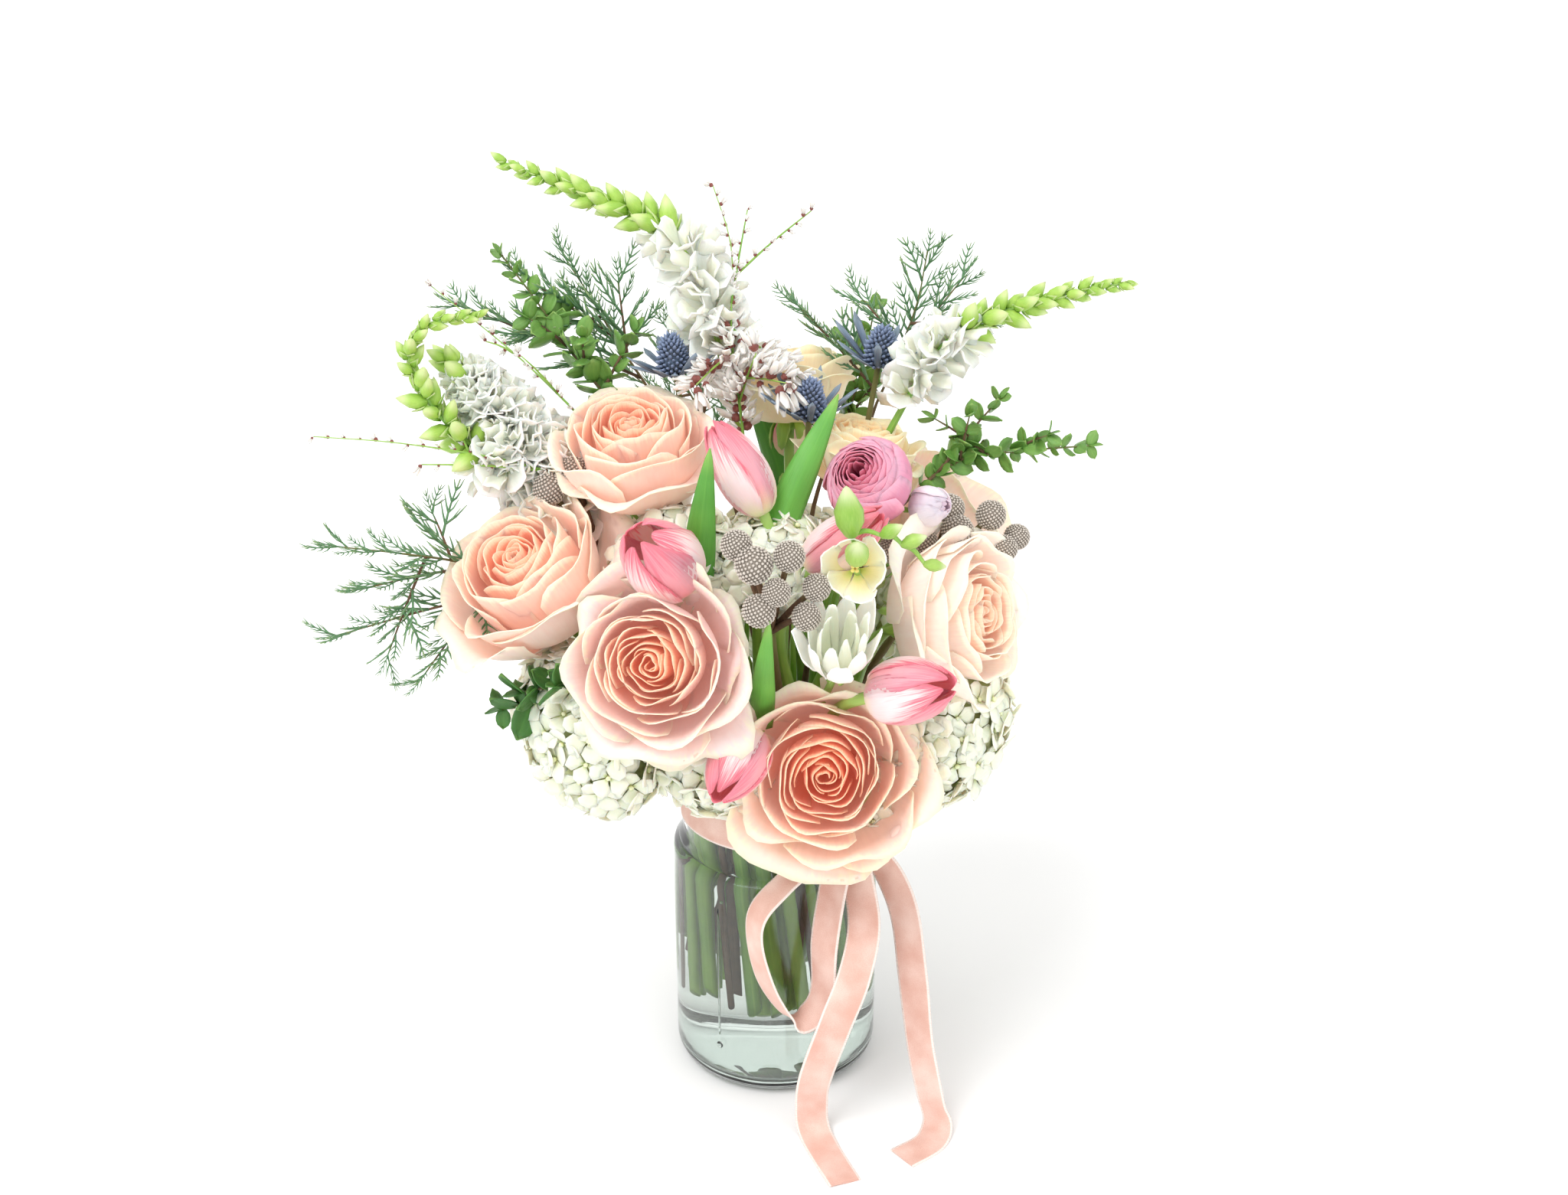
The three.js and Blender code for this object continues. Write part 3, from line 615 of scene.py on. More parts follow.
class Scatter:
    """A Geometry Nodes tree that sets one small shape on many points, turned and sized at each."""

    def __init__(self) -> None:
        """Builds the tree, with its named inputs."""
        tree = bpy.data.node_groups.new("scatter", "GeometryNodeTree")
        inputs = [("Points", "NodeSocketGeometry"), ("Shape", "NodeSocketObject"),
                  ("Smallest", "NodeSocketFloat"), ("Largest", "NodeSocketFloat"), ("Seed", "NodeSocketInt"),
                  ("Finish", "NodeSocketMaterial")]
        self.sockets = {name: tree.interface.new_socket(name, in_out="INPUT", socket_type=kind).identifier
                        for name, kind in inputs}
        tree.interface.new_socket("Geometry", in_out="OUTPUT", socket_type="NodeSocketGeometry")
        g = Graph(tree)
        source = g.node("NodeGroupInput")
        given = {name: Wire(g, source.socket.node.outputs[name]) for name, _ in inputs}
        shape = g.node("GeometryNodeObjectInfo", None, {"Object": given["Shape"]}, out="Geometry")
        turn = g.node("GeometryNodeInputNamedAttribute", {"data_type": "FLOAT_VECTOR"}, {"Name": "turn"})
        size = g.node("GeometryNodeInputNamedAttribute", {"data_type": "FLOAT"}, {"Name": "size"})
        chance = g.node("FunctionNodeRandomValue", {"data_type": "FLOAT"},
                        {"Min": given["Smallest"], "Max": given["Largest"], "Seed": given["Seed"]},
                        out="Value")
        chance = Wire(g, next(s for s in chance.socket.node.outputs if s.enabled))
        scale = g.node("ShaderNodeMath", {"operation": "MULTIPLY"}, {0: size, 1: chance})
        rotation = g.node("FunctionNodeEulerToRotation", None, {"Euler": turn})
        copies = g.node("GeometryNodeInstanceOnPoints", None, {
            "Points": given["Points"], "Instance": shape, "Rotation": rotation, "Scale": scale})
        tint = g.node("FunctionNodeRandomValue", {"data_type": "FLOAT"}, {"Seed": given["Seed"]}, out="Value")
        tint = Wire(g, next(s for s in tint.socket.node.outputs if s.enabled))
        marked = g.node("GeometryNodeStoreNamedAttribute", {"data_type": "FLOAT", "domain": "INSTANCE"},
                        {"Geometry": copies, "Name": "tint", "Value": tint})
        solid = g.node("GeometryNodeRealizeInstances", None, {"Geometry": marked})
        dressed = g.node("GeometryNodeSetMaterial", None, {"Geometry": solid, "Material": given["Finish"]})
        g.node("NodeGroupOutput", None, {"Geometry": dressed})
        self.tree = tree

    def grow(self, name: str, shape: Skin, points: Array, turns: Sequence[Triple], sizes: Sequence[float],
             finish: Finish, seed: int, spread: tuple[float, float] = (0.85, 1.15)) -> bpy.types.Mesh:
        """Sets a shape on points and returns the whole as a plain mesh.

        Args:
            name: the mesh's name.
            shape: the small shape, standing on the origin along +Z.
            points: the n by 3 points.
            turns: each point's Euler angles.
            sizes: each point's scale.
            finish: the finish of the copies.
            seed: fixes the random sizes and tints.
            spread: the smallest and largest random factor on a size.

        Returns:
            The mesh.
        """
        seeds = bpy.data.meshes.new(name)
        seeds.from_pydata([tuple(p * MM) for p in points], [], [])
        seeds.attributes.new("turn", "FLOAT_VECTOR", "POINT").data.foreach_set("vector", np.ravel(turns))
        seeds.attributes.new("size", "FLOAT", "POINT").data.foreach_set("value", np.ravel(sizes))
        holder = bpy.data.objects.new(name, seeds)
        copy = bpy.data.objects.new(name + "_shape", shape.mesh(name + "_shape"))
        for thing in (holder, copy):
            bpy.context.scene.collection.objects.link(thing)
        modifier = holder.modifiers.new("scatter", "NODES")
        modifier.node_group = self.tree
        values = {"Shape": copy, "Smallest": spread[0], "Largest": spread[1], "Seed": seed,
                  "Finish": finish.material()}
        for key, value in values.items():
            modifier[self.sockets[key]] = value
        bpy.context.view_layer.update()
        graph = bpy.context.evaluated_depsgraph_get()
        mesh = bpy.data.meshes.new_from_object(holder.evaluated_get(graph), depsgraph=graph)
        holder.modifiers.clear()
        bpy.data.objects.remove(holder)
        bpy.data.objects.remove(copy)
        bpy.data.meshes.remove(seeds)
        mesh.name = name
        mesh.polygons.foreach_set("use_smooth", [True] * len(mesh.polygons))
        return mesh


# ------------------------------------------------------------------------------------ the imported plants
class Trace:
    """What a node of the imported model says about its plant, in millimetres: its foot, stem and head."""

    STEM_SIDES = 5     # a packed stem's rings have this many points
    OVER_JAR = 175.0   # a head is above this
    BESIDE_JAR = 50.0  # or further than this from the jar's axis
    SEAT_ROUNDS = 12

    def __init__(self, node: str) -> None:
        """Reads a node's mesh, with its doubled points merged."""
        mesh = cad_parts[node].data
        raw = np.empty(len(mesh.vertices) * 3)
        mesh.vertices.foreach_get("co", raw)
        self.points, which = np.unique(np.round(raw.reshape(-1, 3) / MM, 2), axis=0, return_inverse=True)
        which = which.ravel()
        self.triangles = which[np.array([p.vertices[:] for p in mesh.polygons])]
        self.neighbours: list[set[int]] = [set() for _ in self.points]
        for a, b, c in self.triangles:
            self.neighbours[a] |= {b, c}
            self.neighbours[b] |= {a, c}
            self.neighbours[c] |= {a, b}

    def centre(self, ring: set[int]) -> Array:
        """The middle of some points."""
        return self.points[list(ring)].mean(axis=0)

    def walk(self, start: set[int], size: int) -> list[set[int]]:
        """Rings of points from a start on, for as long as each ring has the given size."""
        rings, seen = [start], set(start)
        while True:
            following = set().union(*(self.neighbours[i] for i in rings[-1])) - seen
            if len(following) != size:
                return rings
            seen |= following
            rings.append(following)

    def stem(self) -> Array:
        """The stem's line, from its foot to where its head or first twig begins."""
        foot = set(np.argsort(self.points[:, 2])[:self.STEM_SIDES].tolist())
        return np.array([self.centre(ring) for ring in self.walk(foot, self.STEM_SIDES)])

    def seat(self, facing: Array, radius: float, height: float, sink: float = 1.0) -> Array:
        """Where a head of known size starts.

        Args:
            facing: the way that the head opens.
            radius: its radius.
            height: its height.
            sink: how far its solid reaches down the stem.

        Returns:
            The point at the end of its stem.
        """
        corners = self.points[self.triangles]
        middles = corners.mean(axis=1)
        areas = np.linalg.norm(np.cross(corners[:, 1] - corners[:, 0], corners[:, 2] - corners[:, 0]), axis=1)
        beside = np.hypot(middles[:, 0], middles[:, 1]) > self.BESIDE_JAR
        clear_of_jar = (middles[:, 2] > self.OVER_JAR) | beside
        weight = areas * clear_of_jar
        centre = (middles * weight[:, None]).sum(axis=0) / weight.sum()
        for _ in range(self.SEAT_ROUNDS):
            near = weight * (np.linalg.norm(middles - centre, axis=1) < 1.25 * max(radius, height / 2))
            centre = (middles * near[:, None]).sum(axis=0) / near.sum()
        offset = self.points - centre
        along = offset @ facing
        aside = np.linalg.norm(offset - along[:, None] * facing, axis=1)
        inside = (aside < max(8.0, 0.45 * radius)) & (along < 1.2 * height)
        apex = self.points[np.where(inside, along, -np.inf).argmax()]
        return apex - facing * (height - sink)


class Bunch:
    """What the plants share: the stems' skins, the scatter tree, and the room that each head takes."""

    STEPS = 44
    SIDES = 10

    def __init__(self) -> None:
        """Starts with bare skins."""
        self.green = Skin()
        self.woody = Skin()
        self.scatter = Scatter()
        self.heads: list[tuple[str, Array, Array, float, float]] = []

    def stem(self, line: Array, radius: float, woody: bool, rng: np.random.Generator,
             tip: float = 0.86) -> None:
        """Adds a cut stem.

        Args:
            line: the points of its middle, from the foot up.
            radius: its radius.
            woody: whether it is brown wood.
            rng: varies its nodes and its slanted cut.
            tip: its radius at the top, as a share of its radius.
        """
        count = self.STEPS
        path = spline(line, count)
        swell = 1 + 0.05 * np.sin(np.linspace(0, rng.uniform(15, 28), count) + rng.uniform(0, 6))
        knots = rng.choice(np.arange(6, count - 4), 3, replace=False)
        swell[knots] += 0.14 if woody else 0.07
        radii = radius * swell * (1.08 - (1.08 - tip) * ease(np.linspace(0, 1, count), 0.45, 1.0))
        skin = self.woody if woody else self.green
        skin.tube(path, radii, self.SIDES, rng.random(), rng.random())
        cut = skin.points[-1]
        slant = unit([*rng.normal(size=2), 0.0])
        foot = np.r_[0:self.SIDES, len(cut) - 2]
        cut[foot, 2] += (cut[foot] - path[0]) @ slant * rng.uniform(0.4, 1.1)

    def clear(self, own: str, points: Array, slack: float = 0.9) -> Array:
        """Which points lie outside every other head and outside the jar.

        Args:
            own: the node whose points they are.
            points: the n by 3 points.
            slack: a head's size as a share of its full size.

        Returns:
            n true or false values.
        """
        keep = np.ones(len(points), dtype=bool)
        for node, middle, axes, radius, half in self.heads:
            if node != own:
                local = (points - middle) @ axes / (np.array([radius, radius, half]) * slack)
                keep &= (local**2).sum(axis=1) > 1
        inside_jar = (np.hypot(points[:, 0], points[:, 1]) < Jar.NECK + 2) & (points[:, 2] < Jar.HEIGHT + 1)
        return keep & ~inside_jar

    def dress(self) -> None:
        """Shows the stems."""
        green = GreenFinish("stem_green", Slot.FOLIAGE, "#6aa53a", "#abd45f", "#b0d67c", 0.75, 60.0, 0.0003,
                            0.35)
        wood = GreenFinish("stem_brown", Slot.FOLIAGE, "#57402f", "#8a6b50", "#7f8d4d", 0.7, 220.0, 0.0006,
                           0.7)
        show(self.green.mesh("green_stems"), green)
        show(self.woody.mesh("woody_stems"), wood)


# ------------------------------------------------------------------------------------ petals
@dataclass(frozen=True)
class PetalForm:
    """A petal's shape about its flower's axis, in shares of the flower's radius and height."""

    low: tuple[float, float]
    belly: tuple[float, float]
    shoulder: tuple[float, float]
    rim: tuple[float, float]
    half_span: float
    foot_width: float = 0.4
    round_off: float = 0.25
    notch: float = 0.0
    ruffle: float = 0.0
    waves: float = 3.0
    overlap: float = 0.05
    fold: float = 0.0
    curl: float = 0.0

    def grid(self, radius: float, height: float, angle: float, rng: np.random.Generator, rows: int = 11,
             cols: int = 11) -> Array:
        """The petal's middle surface, on a flower that stands on the origin along +Z.

        Args:
            radius: the flower's radius.
            height: the flower's height.
            angle: where the petal stands round the axis.
            rng: varies its ruffles.
            rows: points along it.
            cols: points across it.

        Returns:
            A rows by cols by 3 array.
        """
        across = np.linspace(-1, 1, cols)[None, :]
        along = np.linspace(0, 1, rows)[:, None]
        dip = self.notch * np.exp(-(across / 0.22)**2) * along**4
        t = along * (1 - self.round_off * np.abs(across)**2.4) - dip
        r, z = bezier(t, self.low, self.belly, self.shoulder, self.rim)
        width = self.foot_width + (1 - self.foot_width) * np.sin(np.minimum(1.0, along * 1.3) * math.pi / 2)
        theta = angle + across * self.half_span * width
        phases = rng.uniform(0, 2 * math.pi, 3)
        wave = np.sin(across * self.waves * math.pi + phases[0]) + 0.6 * np.sin(
            across * self.waves * 1.7 * math.pi + phases[1])
        lift = self.ruffle * along**3 * wave
        ridge = self.fold * (1 - np.abs(across))**2 * along
        rolled = self.curl * np.clip((t - 0.72) / 0.28, 0, 1)**2
        r = r + rolled
        z = z - rolled * 0.8
        r = r * (1 + self.overlap * across) * radius + (lift + ridge) * radius
        sway = np.sin(across * self.waves * 1.3 * math.pi + phases[2])
        z = z * height + self.ruffle * along**3 * sway * height * 0.6
        return np.stack([r * np.cos(theta), r * np.sin(theta), z + 0 * theta], axis=-1)


def mixed(a: tuple[float, float], b: tuple[float, float], share: float) -> tuple[float, float]:
    """A point between two points."""
    return (a[0] + (b[0] - a[0]) * share, a[1] + (b[1] - a[1]) * share)


@dataclass
class Flower:
    """A head on a stem: its node, the way it opens and its size in millimetres."""

    node: str
    facing: Triple
    radius: float
    height: float
    seed: int = 1
    stem_radius: float = 2.9
    woody: bool = False
    trace: Trace = field(init=False)
    seat: Array = field(init=False)
    axes: Array = field(init=False)

    def __post_init__(self) -> None:
        """Finds the head on its node."""
        self.trace = Trace(self.node)
        self.rng = np.random.default_rng(self.seed)
        self.axes = basis(self.facing, self.rng.uniform(0, 2 * math.pi))
        self.seat = self.find_seat()

    def find_seat(self) -> Array:
        """The point where the head starts."""
        return self.trace.seat(unit(self.facing), self.radius, self.height)

    def place(self, grid: Array) -> Array:
        """Carries local points to the head's place."""
        return grid @ self.axes.T + self.seat

    def claim(self, bunch: Bunch) -> None:
        """Records the room that the head takes."""
        middle = self.seat + self.axes[:, 2] * self.height / 2
        bunch.heads.append((self.node, middle, self.axes, self.radius, self.height / 2))

    def grow_stem(self, bunch: Bunch) -> None:
        """Adds the stem, up to the head's seat."""
        line = np.vstack([self.trace.stem(), self.seat + self.axes[:, 2] * 3])
        bunch.stem(line, self.stem_radius, self.woody, self.rng)

    def calyx(self, bunch: Bunch, size: float, sepals: int, length: float) -> None:
        """Adds a green cup with sepals under the head.

        Args:
            bunch: where it goes.
            size: the cup's radius.
            sepals: how many sepals.
            length: their length.
        """
        cup = Skin()
        profile = [(0, -size * 1.1), (size * 0.45, -size), (size * 0.95, -size * 0.3), (size, size * 0.3),
                   (size * 0.6, size * 0.7), (0, size * 0.8)]
        cup.turned(profile, 10)
        bunch.green.take(cup, self.place, 0.5, 0.6)
        form = PetalForm((size * 0.8, 0.0), (size * 1.5, 0.0), (size * 2.0, -length * 0.4),
                         (size * 1.5, -length * 0.85), 0.45, 0.9, 0.5, fold=0.05)
        for i in range(sepals):
            grid = form.grid(1.0, 1.0, i * 2 * math.pi / sepals, self.rng, 5, 5)
            bunch.green.sheet(self.place(grid), 0.5, 0.5, self.rng.random())


@dataclass
class Rose(Flower):
    """A full garden rose: a scrolled heart, packed inner petals and wide outer ones that turn back."""

    petals: int = 38
    finish: PetalFinish = PetalFinish("rose_peach", Slot.ROSE)

    HEART = PetalForm((0.02, 0.1), (0.10, 0.2), (0.11, 0.5), (0.06, 0.84), 2.1, 0.8, 0.04, 0.02, 0.015, 1.2,
                      0.3)
    INNER = PetalForm((0.05, 0.06), (0.32, 0.14), (0.40, 0.62), (0.27, 0.90), 1.15, 0.6, 0.16, 0.03, 0.022,
                      1.2, 0.10, curl=0.03)
    MIDDLE = PetalForm((0.07, 0.03), (0.64, 0.05), (0.76, 0.62), (0.58, 0.98), 0.98, 0.5, 0.24, 0.05, 0.03,
                       1.2, 0.07, curl=0.08)
    OUTER = PetalForm((0.08, 0.00), (0.88, 0.00), (1.00, 0.56), (0.93, 0.88), 0.92, 0.4, 0.28, 0.06, 0.055,
                      1.3, 0.05, curl=0.14)
    TURNED = PetalForm((0.08, -0.02), (0.82, -0.10), (1.04, 0.40), (1.16, 0.56), 0.90, 0.38, 0.30, 0.07,
                       0.075, 1.5, 0.05, curl=0.22)

    def form(self, age: float) -> PetalForm:
        """The petal shape at an age, from 0 at the heart to 1 outside."""
        stops = [(0.0, self.HEART), (0.22, self.INNER), (0.6, self.MIDDLE), (0.82, self.OUTER),
                 (1.0, self.TURNED)]
        for (start, low), (end, high) in zip(stops, stops[1:]):
            if age <= end:
                break
        share = (age - start) / (end - start)
        points = ("low", "belly", "shoulder", "rim")
        shapes = [mixed(getattr(low, k), getattr(high, k), share) for k in points]
        names = ("half_span", "foot_width", "round_off", "notch", "ruffle", "waves", "overlap", "fold",
                 "curl")
        rest = [getattr(low, k) + (getattr(high, k) - getattr(low, k)) * share for k in names]
        return PetalForm(*shapes, *rest)

    def build(self, bunch: Bunch) -> None:
        """Builds and shows the head."""
        skin = Skin()
        for i in range(self.petals):
            age = i / (self.petals - 1)
            spread = age**1.05
            form = self.form(spread)
            loose = ease(spread, 0.6, 0.95)
            wide = 1 + (0.08 + 0.07 * loose) * self.rng.uniform(-1, 1)
            tall = 1 + (0.04 + 0.10 * loose) * self.rng.uniform(-1, 1)
            angle = i * GOLDEN_TURN + 0.25 * self.rng.uniform(-1, 1)
            cols = 15 if spread > 0.1 else 17
            grid = form.grid(self.radius * wide, self.height * tall, angle, self.rng, 12, cols)
            skin.sheet(self.place(grid), 0.45, age, self.rng.random())
        show(skin.mesh(self.node + "_petals"), self.finish, self.node)
        self.calyx(bunch, 5.0, 5, 16.0)


@dataclass
class Tulip(Flower):
    """A tulip: two whorls of three pointed petals, and its leaf blades."""

    opening: float = 0.0
    leaf_width: float = 0.0
    finish: PetalFinish = PetalFinish("tulip_pink", Slot.TULIP, "#f093a0", "#f9d9d8", "#dc3f62", "#f0efb8",
                                      0.62, 0.45, 0.9, 0.9, 0.15, 0.38, 0.05)

    def build(self, bunch: Bunch) -> None:
        """Builds and shows the head and its leaf."""
        skin = Skin()
        for i in range(6):
            outer = i % 2
            reach = 0.62 + self.opening * 0.55 + 0.04 * outer
            form = PetalForm((0.05, 0.0), (0.98 + 0.06 * outer, 0.02), (1.10 + 0.05 * outer, 0.62),
                             (reach * 0.32, 1.0 - 0.04 * outer), 0.84, 0.5, 0.42, 0.0, 0.02, 1.4, 0.04, 0.035)
            angle = i * math.pi / 3 + self.rng.uniform(-0.1, 0.1)
            grid = form.grid(self.radius, self.height, angle, self.rng, 14, 13)
            skin.sheet(self.place(grid), 0.7, 0.3 + 0.6 * outer, self.rng.random())
        show(skin.mesh(self.node + "_petals"), self.finish, self.node)
        if self.leaf_width:
            self.leaf()

    def leaf(self) -> None:
        """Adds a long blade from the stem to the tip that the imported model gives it."""
        points = self.trace.points
        tip = points[(points @ unit([0, 0.15, 1])).argmax()]
        if tip[2] < self.seat[2]:
            tip = points[points[:, 2].argmax()]
        stem = self.trace.stem()[-1]
        start = stem * 0.5 + self.seat * 0.5
        line = spline(np.array([start, (start + tip) / 2 + [0, -3, 2], tip]), 16)
        widths = self.leaf_width * np.sin(np.linspace(0.32, 1.0, 16)**0.75 * math.pi) ** 0.7
        side = unit(np.cross(tip - start, [0.15, 1, 0.1]))
        normal = unit(np.cross(side, tip - start))
        across = np.linspace(-1, 1, 9)
        wave = 0.8 * np.sin(np.linspace(0, 7, 16))[:, None] * np.abs(across)
        grid = (line[:, None] + side * (across * widths[:, None] / 2)[..., None]
                + normal * ((np.abs(across) ** 1.6) * widths[:, None] * 0.22 + wave)[..., None])
        leaf = Skin()
        leaf.sheet(grid, 0.6, 0.5, self.rng.random())
        green = GreenFinish("tulip_leaf", Slot.TULIP, "#3f8a2c", "#6cb548", "#9ccb62", 0.8, 45.0, 0.0003,
                            0.38)
        show(leaf.mesh(self.node + "_leaf"), green)


@dataclass
class Ranunculus(Flower):
    """Many thin round petals in tight layers about a dark eye, with a side bud."""

    finish: PetalFinish = PetalFinish("ranunculus_pink", Slot.RANUNCULUS, "#b83562", "#e384a2", "#f4b4c6",
                                      "#a82f5c", 0.72, 0.15, 0.7, 0.15, 0.4, 0.45, 0.02)
    LAYERS = 54
    THREADS = 40
    BUD = (66.0, -28.0, 290.0, 10.0)

    def build(self, bunch: Bunch) -> None:
        """Builds and shows the bloom, its eye and its bud."""
        skin = Skin()
        for i in range(self.LAYERS):
            age = i / (self.LAYERS - 1)
            reach = 0.16 + 0.84 * age**0.8
            rim = (reach * 0.74, 0.96 - 0.22 * age**2)
            form = PetalForm((0.05, 0.05), (reach, 0.06), (reach * 1.16, 0.66), rim, 0.85, 0.5, 0.12, 0.0,
                             0.012, 1.5, 0.05)
            grid = form.grid(self.radius, self.height, i * GOLDEN_TURN, self.rng, 8, 11)
            skin.sheet(self.place(grid), 0.4, age, self.rng.random())
        show(skin.mesh("ranunculus_petals"), self.finish, self.node)
        eye = Skin()
        for k in range(self.THREADS):
            lean, turn = math.sqrt(k / self.THREADS), k * GOLDEN_TURN
            out = np.array([math.cos(turn), math.sin(turn), 0.0])
            foot = (out * 0.10 * lean + [0, 0, 0.45]) * self.radius
            tip = foot + (out * 0.02 + [0, 0, 0.72 - 0.1 * lean]) * self.radius
            thread = self.place(np.array([foot, (foot + tip) / 2, tip]))
            eye.tube(thread, [0.5, 0.45, 0.7], 5, 0.5, self.rng.random())
        dark = GrainFinish("ranunculus_dark_eye", Slot.RANUNCULUS, "#120f0c", "#33261f")
        show(eye.mesh("ranunculus_eye"), dark)
        self.bud(bunch, np.array(self.BUD[:3]), self.BUD[3])
        self.calyx(bunch, 3.5, 5, 9.0)

    def bud(self, bunch: Bunch, centre: Array, radius: float) -> None:
        """Adds a closed bud on its stalk."""
        skin = Skin()
        axes = basis(centre - self.seat + [0, -6, 6])
        for i in range(14):
            age = i / 13
            form = PetalForm((0.05, 0.0), (0.6 + 0.45 * age, 0.05), (0.75 + 0.4 * age, 0.6),
                             (0.10 + 0.28 * age, 1.0 - 0.1 * age), 0.9, 0.5, 0.15, 0.0, 0.01, 1.3, 0.06)
            grid = form.grid(radius, radius * 2, i * GOLDEN_TURN, self.rng, 8, 9)
            skin.sheet(grid @ axes.T + centre - axes[:, 2] * radius, 0.4, age, self.rng.random())
        lilac = PetalFinish("ranunculus_bud", Slot.RANUNCULUS, "#cdb2c4", "#e6dae0", "#d9c3d0", "#b9c79a",
                            0.8, 0.3)
        show(skin.mesh("ranunculus_bud"), lilac)
        middle = (self.seat + centre) / 2 + [0, 0, -4]
        line = spline(np.array([self.seat, middle, centre - axes[:, 2] * radius]), 8)
        bunch.green.tube(line, 1.3, 7)


@dataclass
class Lisianthus(Flower):
    """A white bloom of narrow pointed petals."""

    finish: PetalFinish = PetalFinish("lisianthus_white", Slot.LISIANTHUS, "#f1f4de", "#fffef8", "#fffffb",
                                      "#d5e3a4", 0.85, 0.3, 0.5, 0.2, 0.35, 0.45)

    def build(self, bunch: Bunch) -> None:
        """Builds and shows the bloom."""
        skin = Skin()
        for i in range(18):
            age = i / 17
            form = PetalForm((0.05, 0.0), (0.5 + 0.5 * age, 0.05), (0.6 + 0.5 * age, 0.6),
                             (0.3 + 0.95 * age, 1.06 - 0.12 * age), 0.46, 0.4, 0.62, 0.0, 0.03, 1.5, 0.05,
                             0.06)
            grid = form.grid(self.radius, self.height, i * GOLDEN_TURN, self.rng, 12, 9)
            skin.sheet(self.place(grid), 0.45, age, self.rng.random())
        show(skin.mesh("lisianthus_petals"), self.finish, self.node)
        self.calyx(bunch, 3.0, 5, 12.0)


@dataclass
class Freesia(Flower):
    """A white trumpet with a yellow throat, two large buds and a string of small green ones."""

    finish: PetalFinish = PetalFinish("freesia_cream", Slot.FREESIA, "#f2d45a", "#fbf8e6", "#fffef2",
                                      "#b9cf5e", 0.9, 0.35, 0.3, 0.15, 0.6, 0.4)
    BUDS = ((33, -86, 292, 6.5), (30, -80, 306, 8), (46, -84, 301, 4), (55, -82, 296, 4), (64, -78, 284, 3.5))

    def find_seat(self) -> Array:
        """The funnel's hollow top is lower than its rim."""
        return self.trace.seat(unit(self.facing), self.radius * 0.5, self.height)

    def build(self, bunch: Bunch) -> None:
        """Builds and shows the bloom and its buds."""
        skin = Skin()
        for i in range(6):
            form = PetalForm((0.04, -0.1), (0.62, 0.1), (0.98, 0.55), (0.82 + 0.16 * (i % 2), 1.0), 0.62,
                             0.5, 0.3, 0.0, 0.03, 1.5, 0.05, 0.02)
            grid = form.grid(self.radius * 1.15, self.height, i * math.pi / 3, self.rng, 12, 9)
            skin.sheet(self.place(grid), 0.5, 0.9, self.rng.random())
        for k in range(4):
            top = np.array([1.2 * math.cos(k * 1.6), 1.2 * math.sin(k * 1.6), self.height * 0.8])
            skin.tube(self.place(np.array([[0, 0, 2.0], top * 0.6, top])), [0.4, 0.4, 0.9], 6, 0.0, 0.5)
        show(skin.mesh("freesia_bloom"), self.finish, self.node)
        buds = Skin()
        before = self.seat - self.axes[:, 2] * 4
        for *centre, radius in self.BUDS:
            centre = np.array(centre, dtype=float)
            up = unit(centre - before + [0, -2, 8])
            axes = basis(up, self.rng.uniform(0, 6))
            outline = [(0, -1.3), (0.4, -1.05), (0.86, -0.35), (0.9, 0.3), (0.55, 1.0), (0.2, 1.5), (0, 1.65)]
            bud = Skin()
            bud.turned([(r * radius * 0.84, z * radius) for r, z in outline], 12)
            buds.take(bud, lambda points: points @ axes.T + centre, 0.5, self.rng.random())
            foot = centre - up * radius
            middle = (before + foot) / 2 + [0, 1.0, 1.5]
            bunch.green.tube(spline(np.array([before, middle, foot]), 8), np.linspace(1.3, 0.8, 8), 7)
            before = foot
        bud_green = GreenFinish("freesia_bud", Slot.FREESIA, "#7fae3c", "#b3d36a", "#e6ebc0", 0.55, 90.0,
                                0.0002, 0.4)
        show(buds.mesh("freesia_buds"), bud_green)


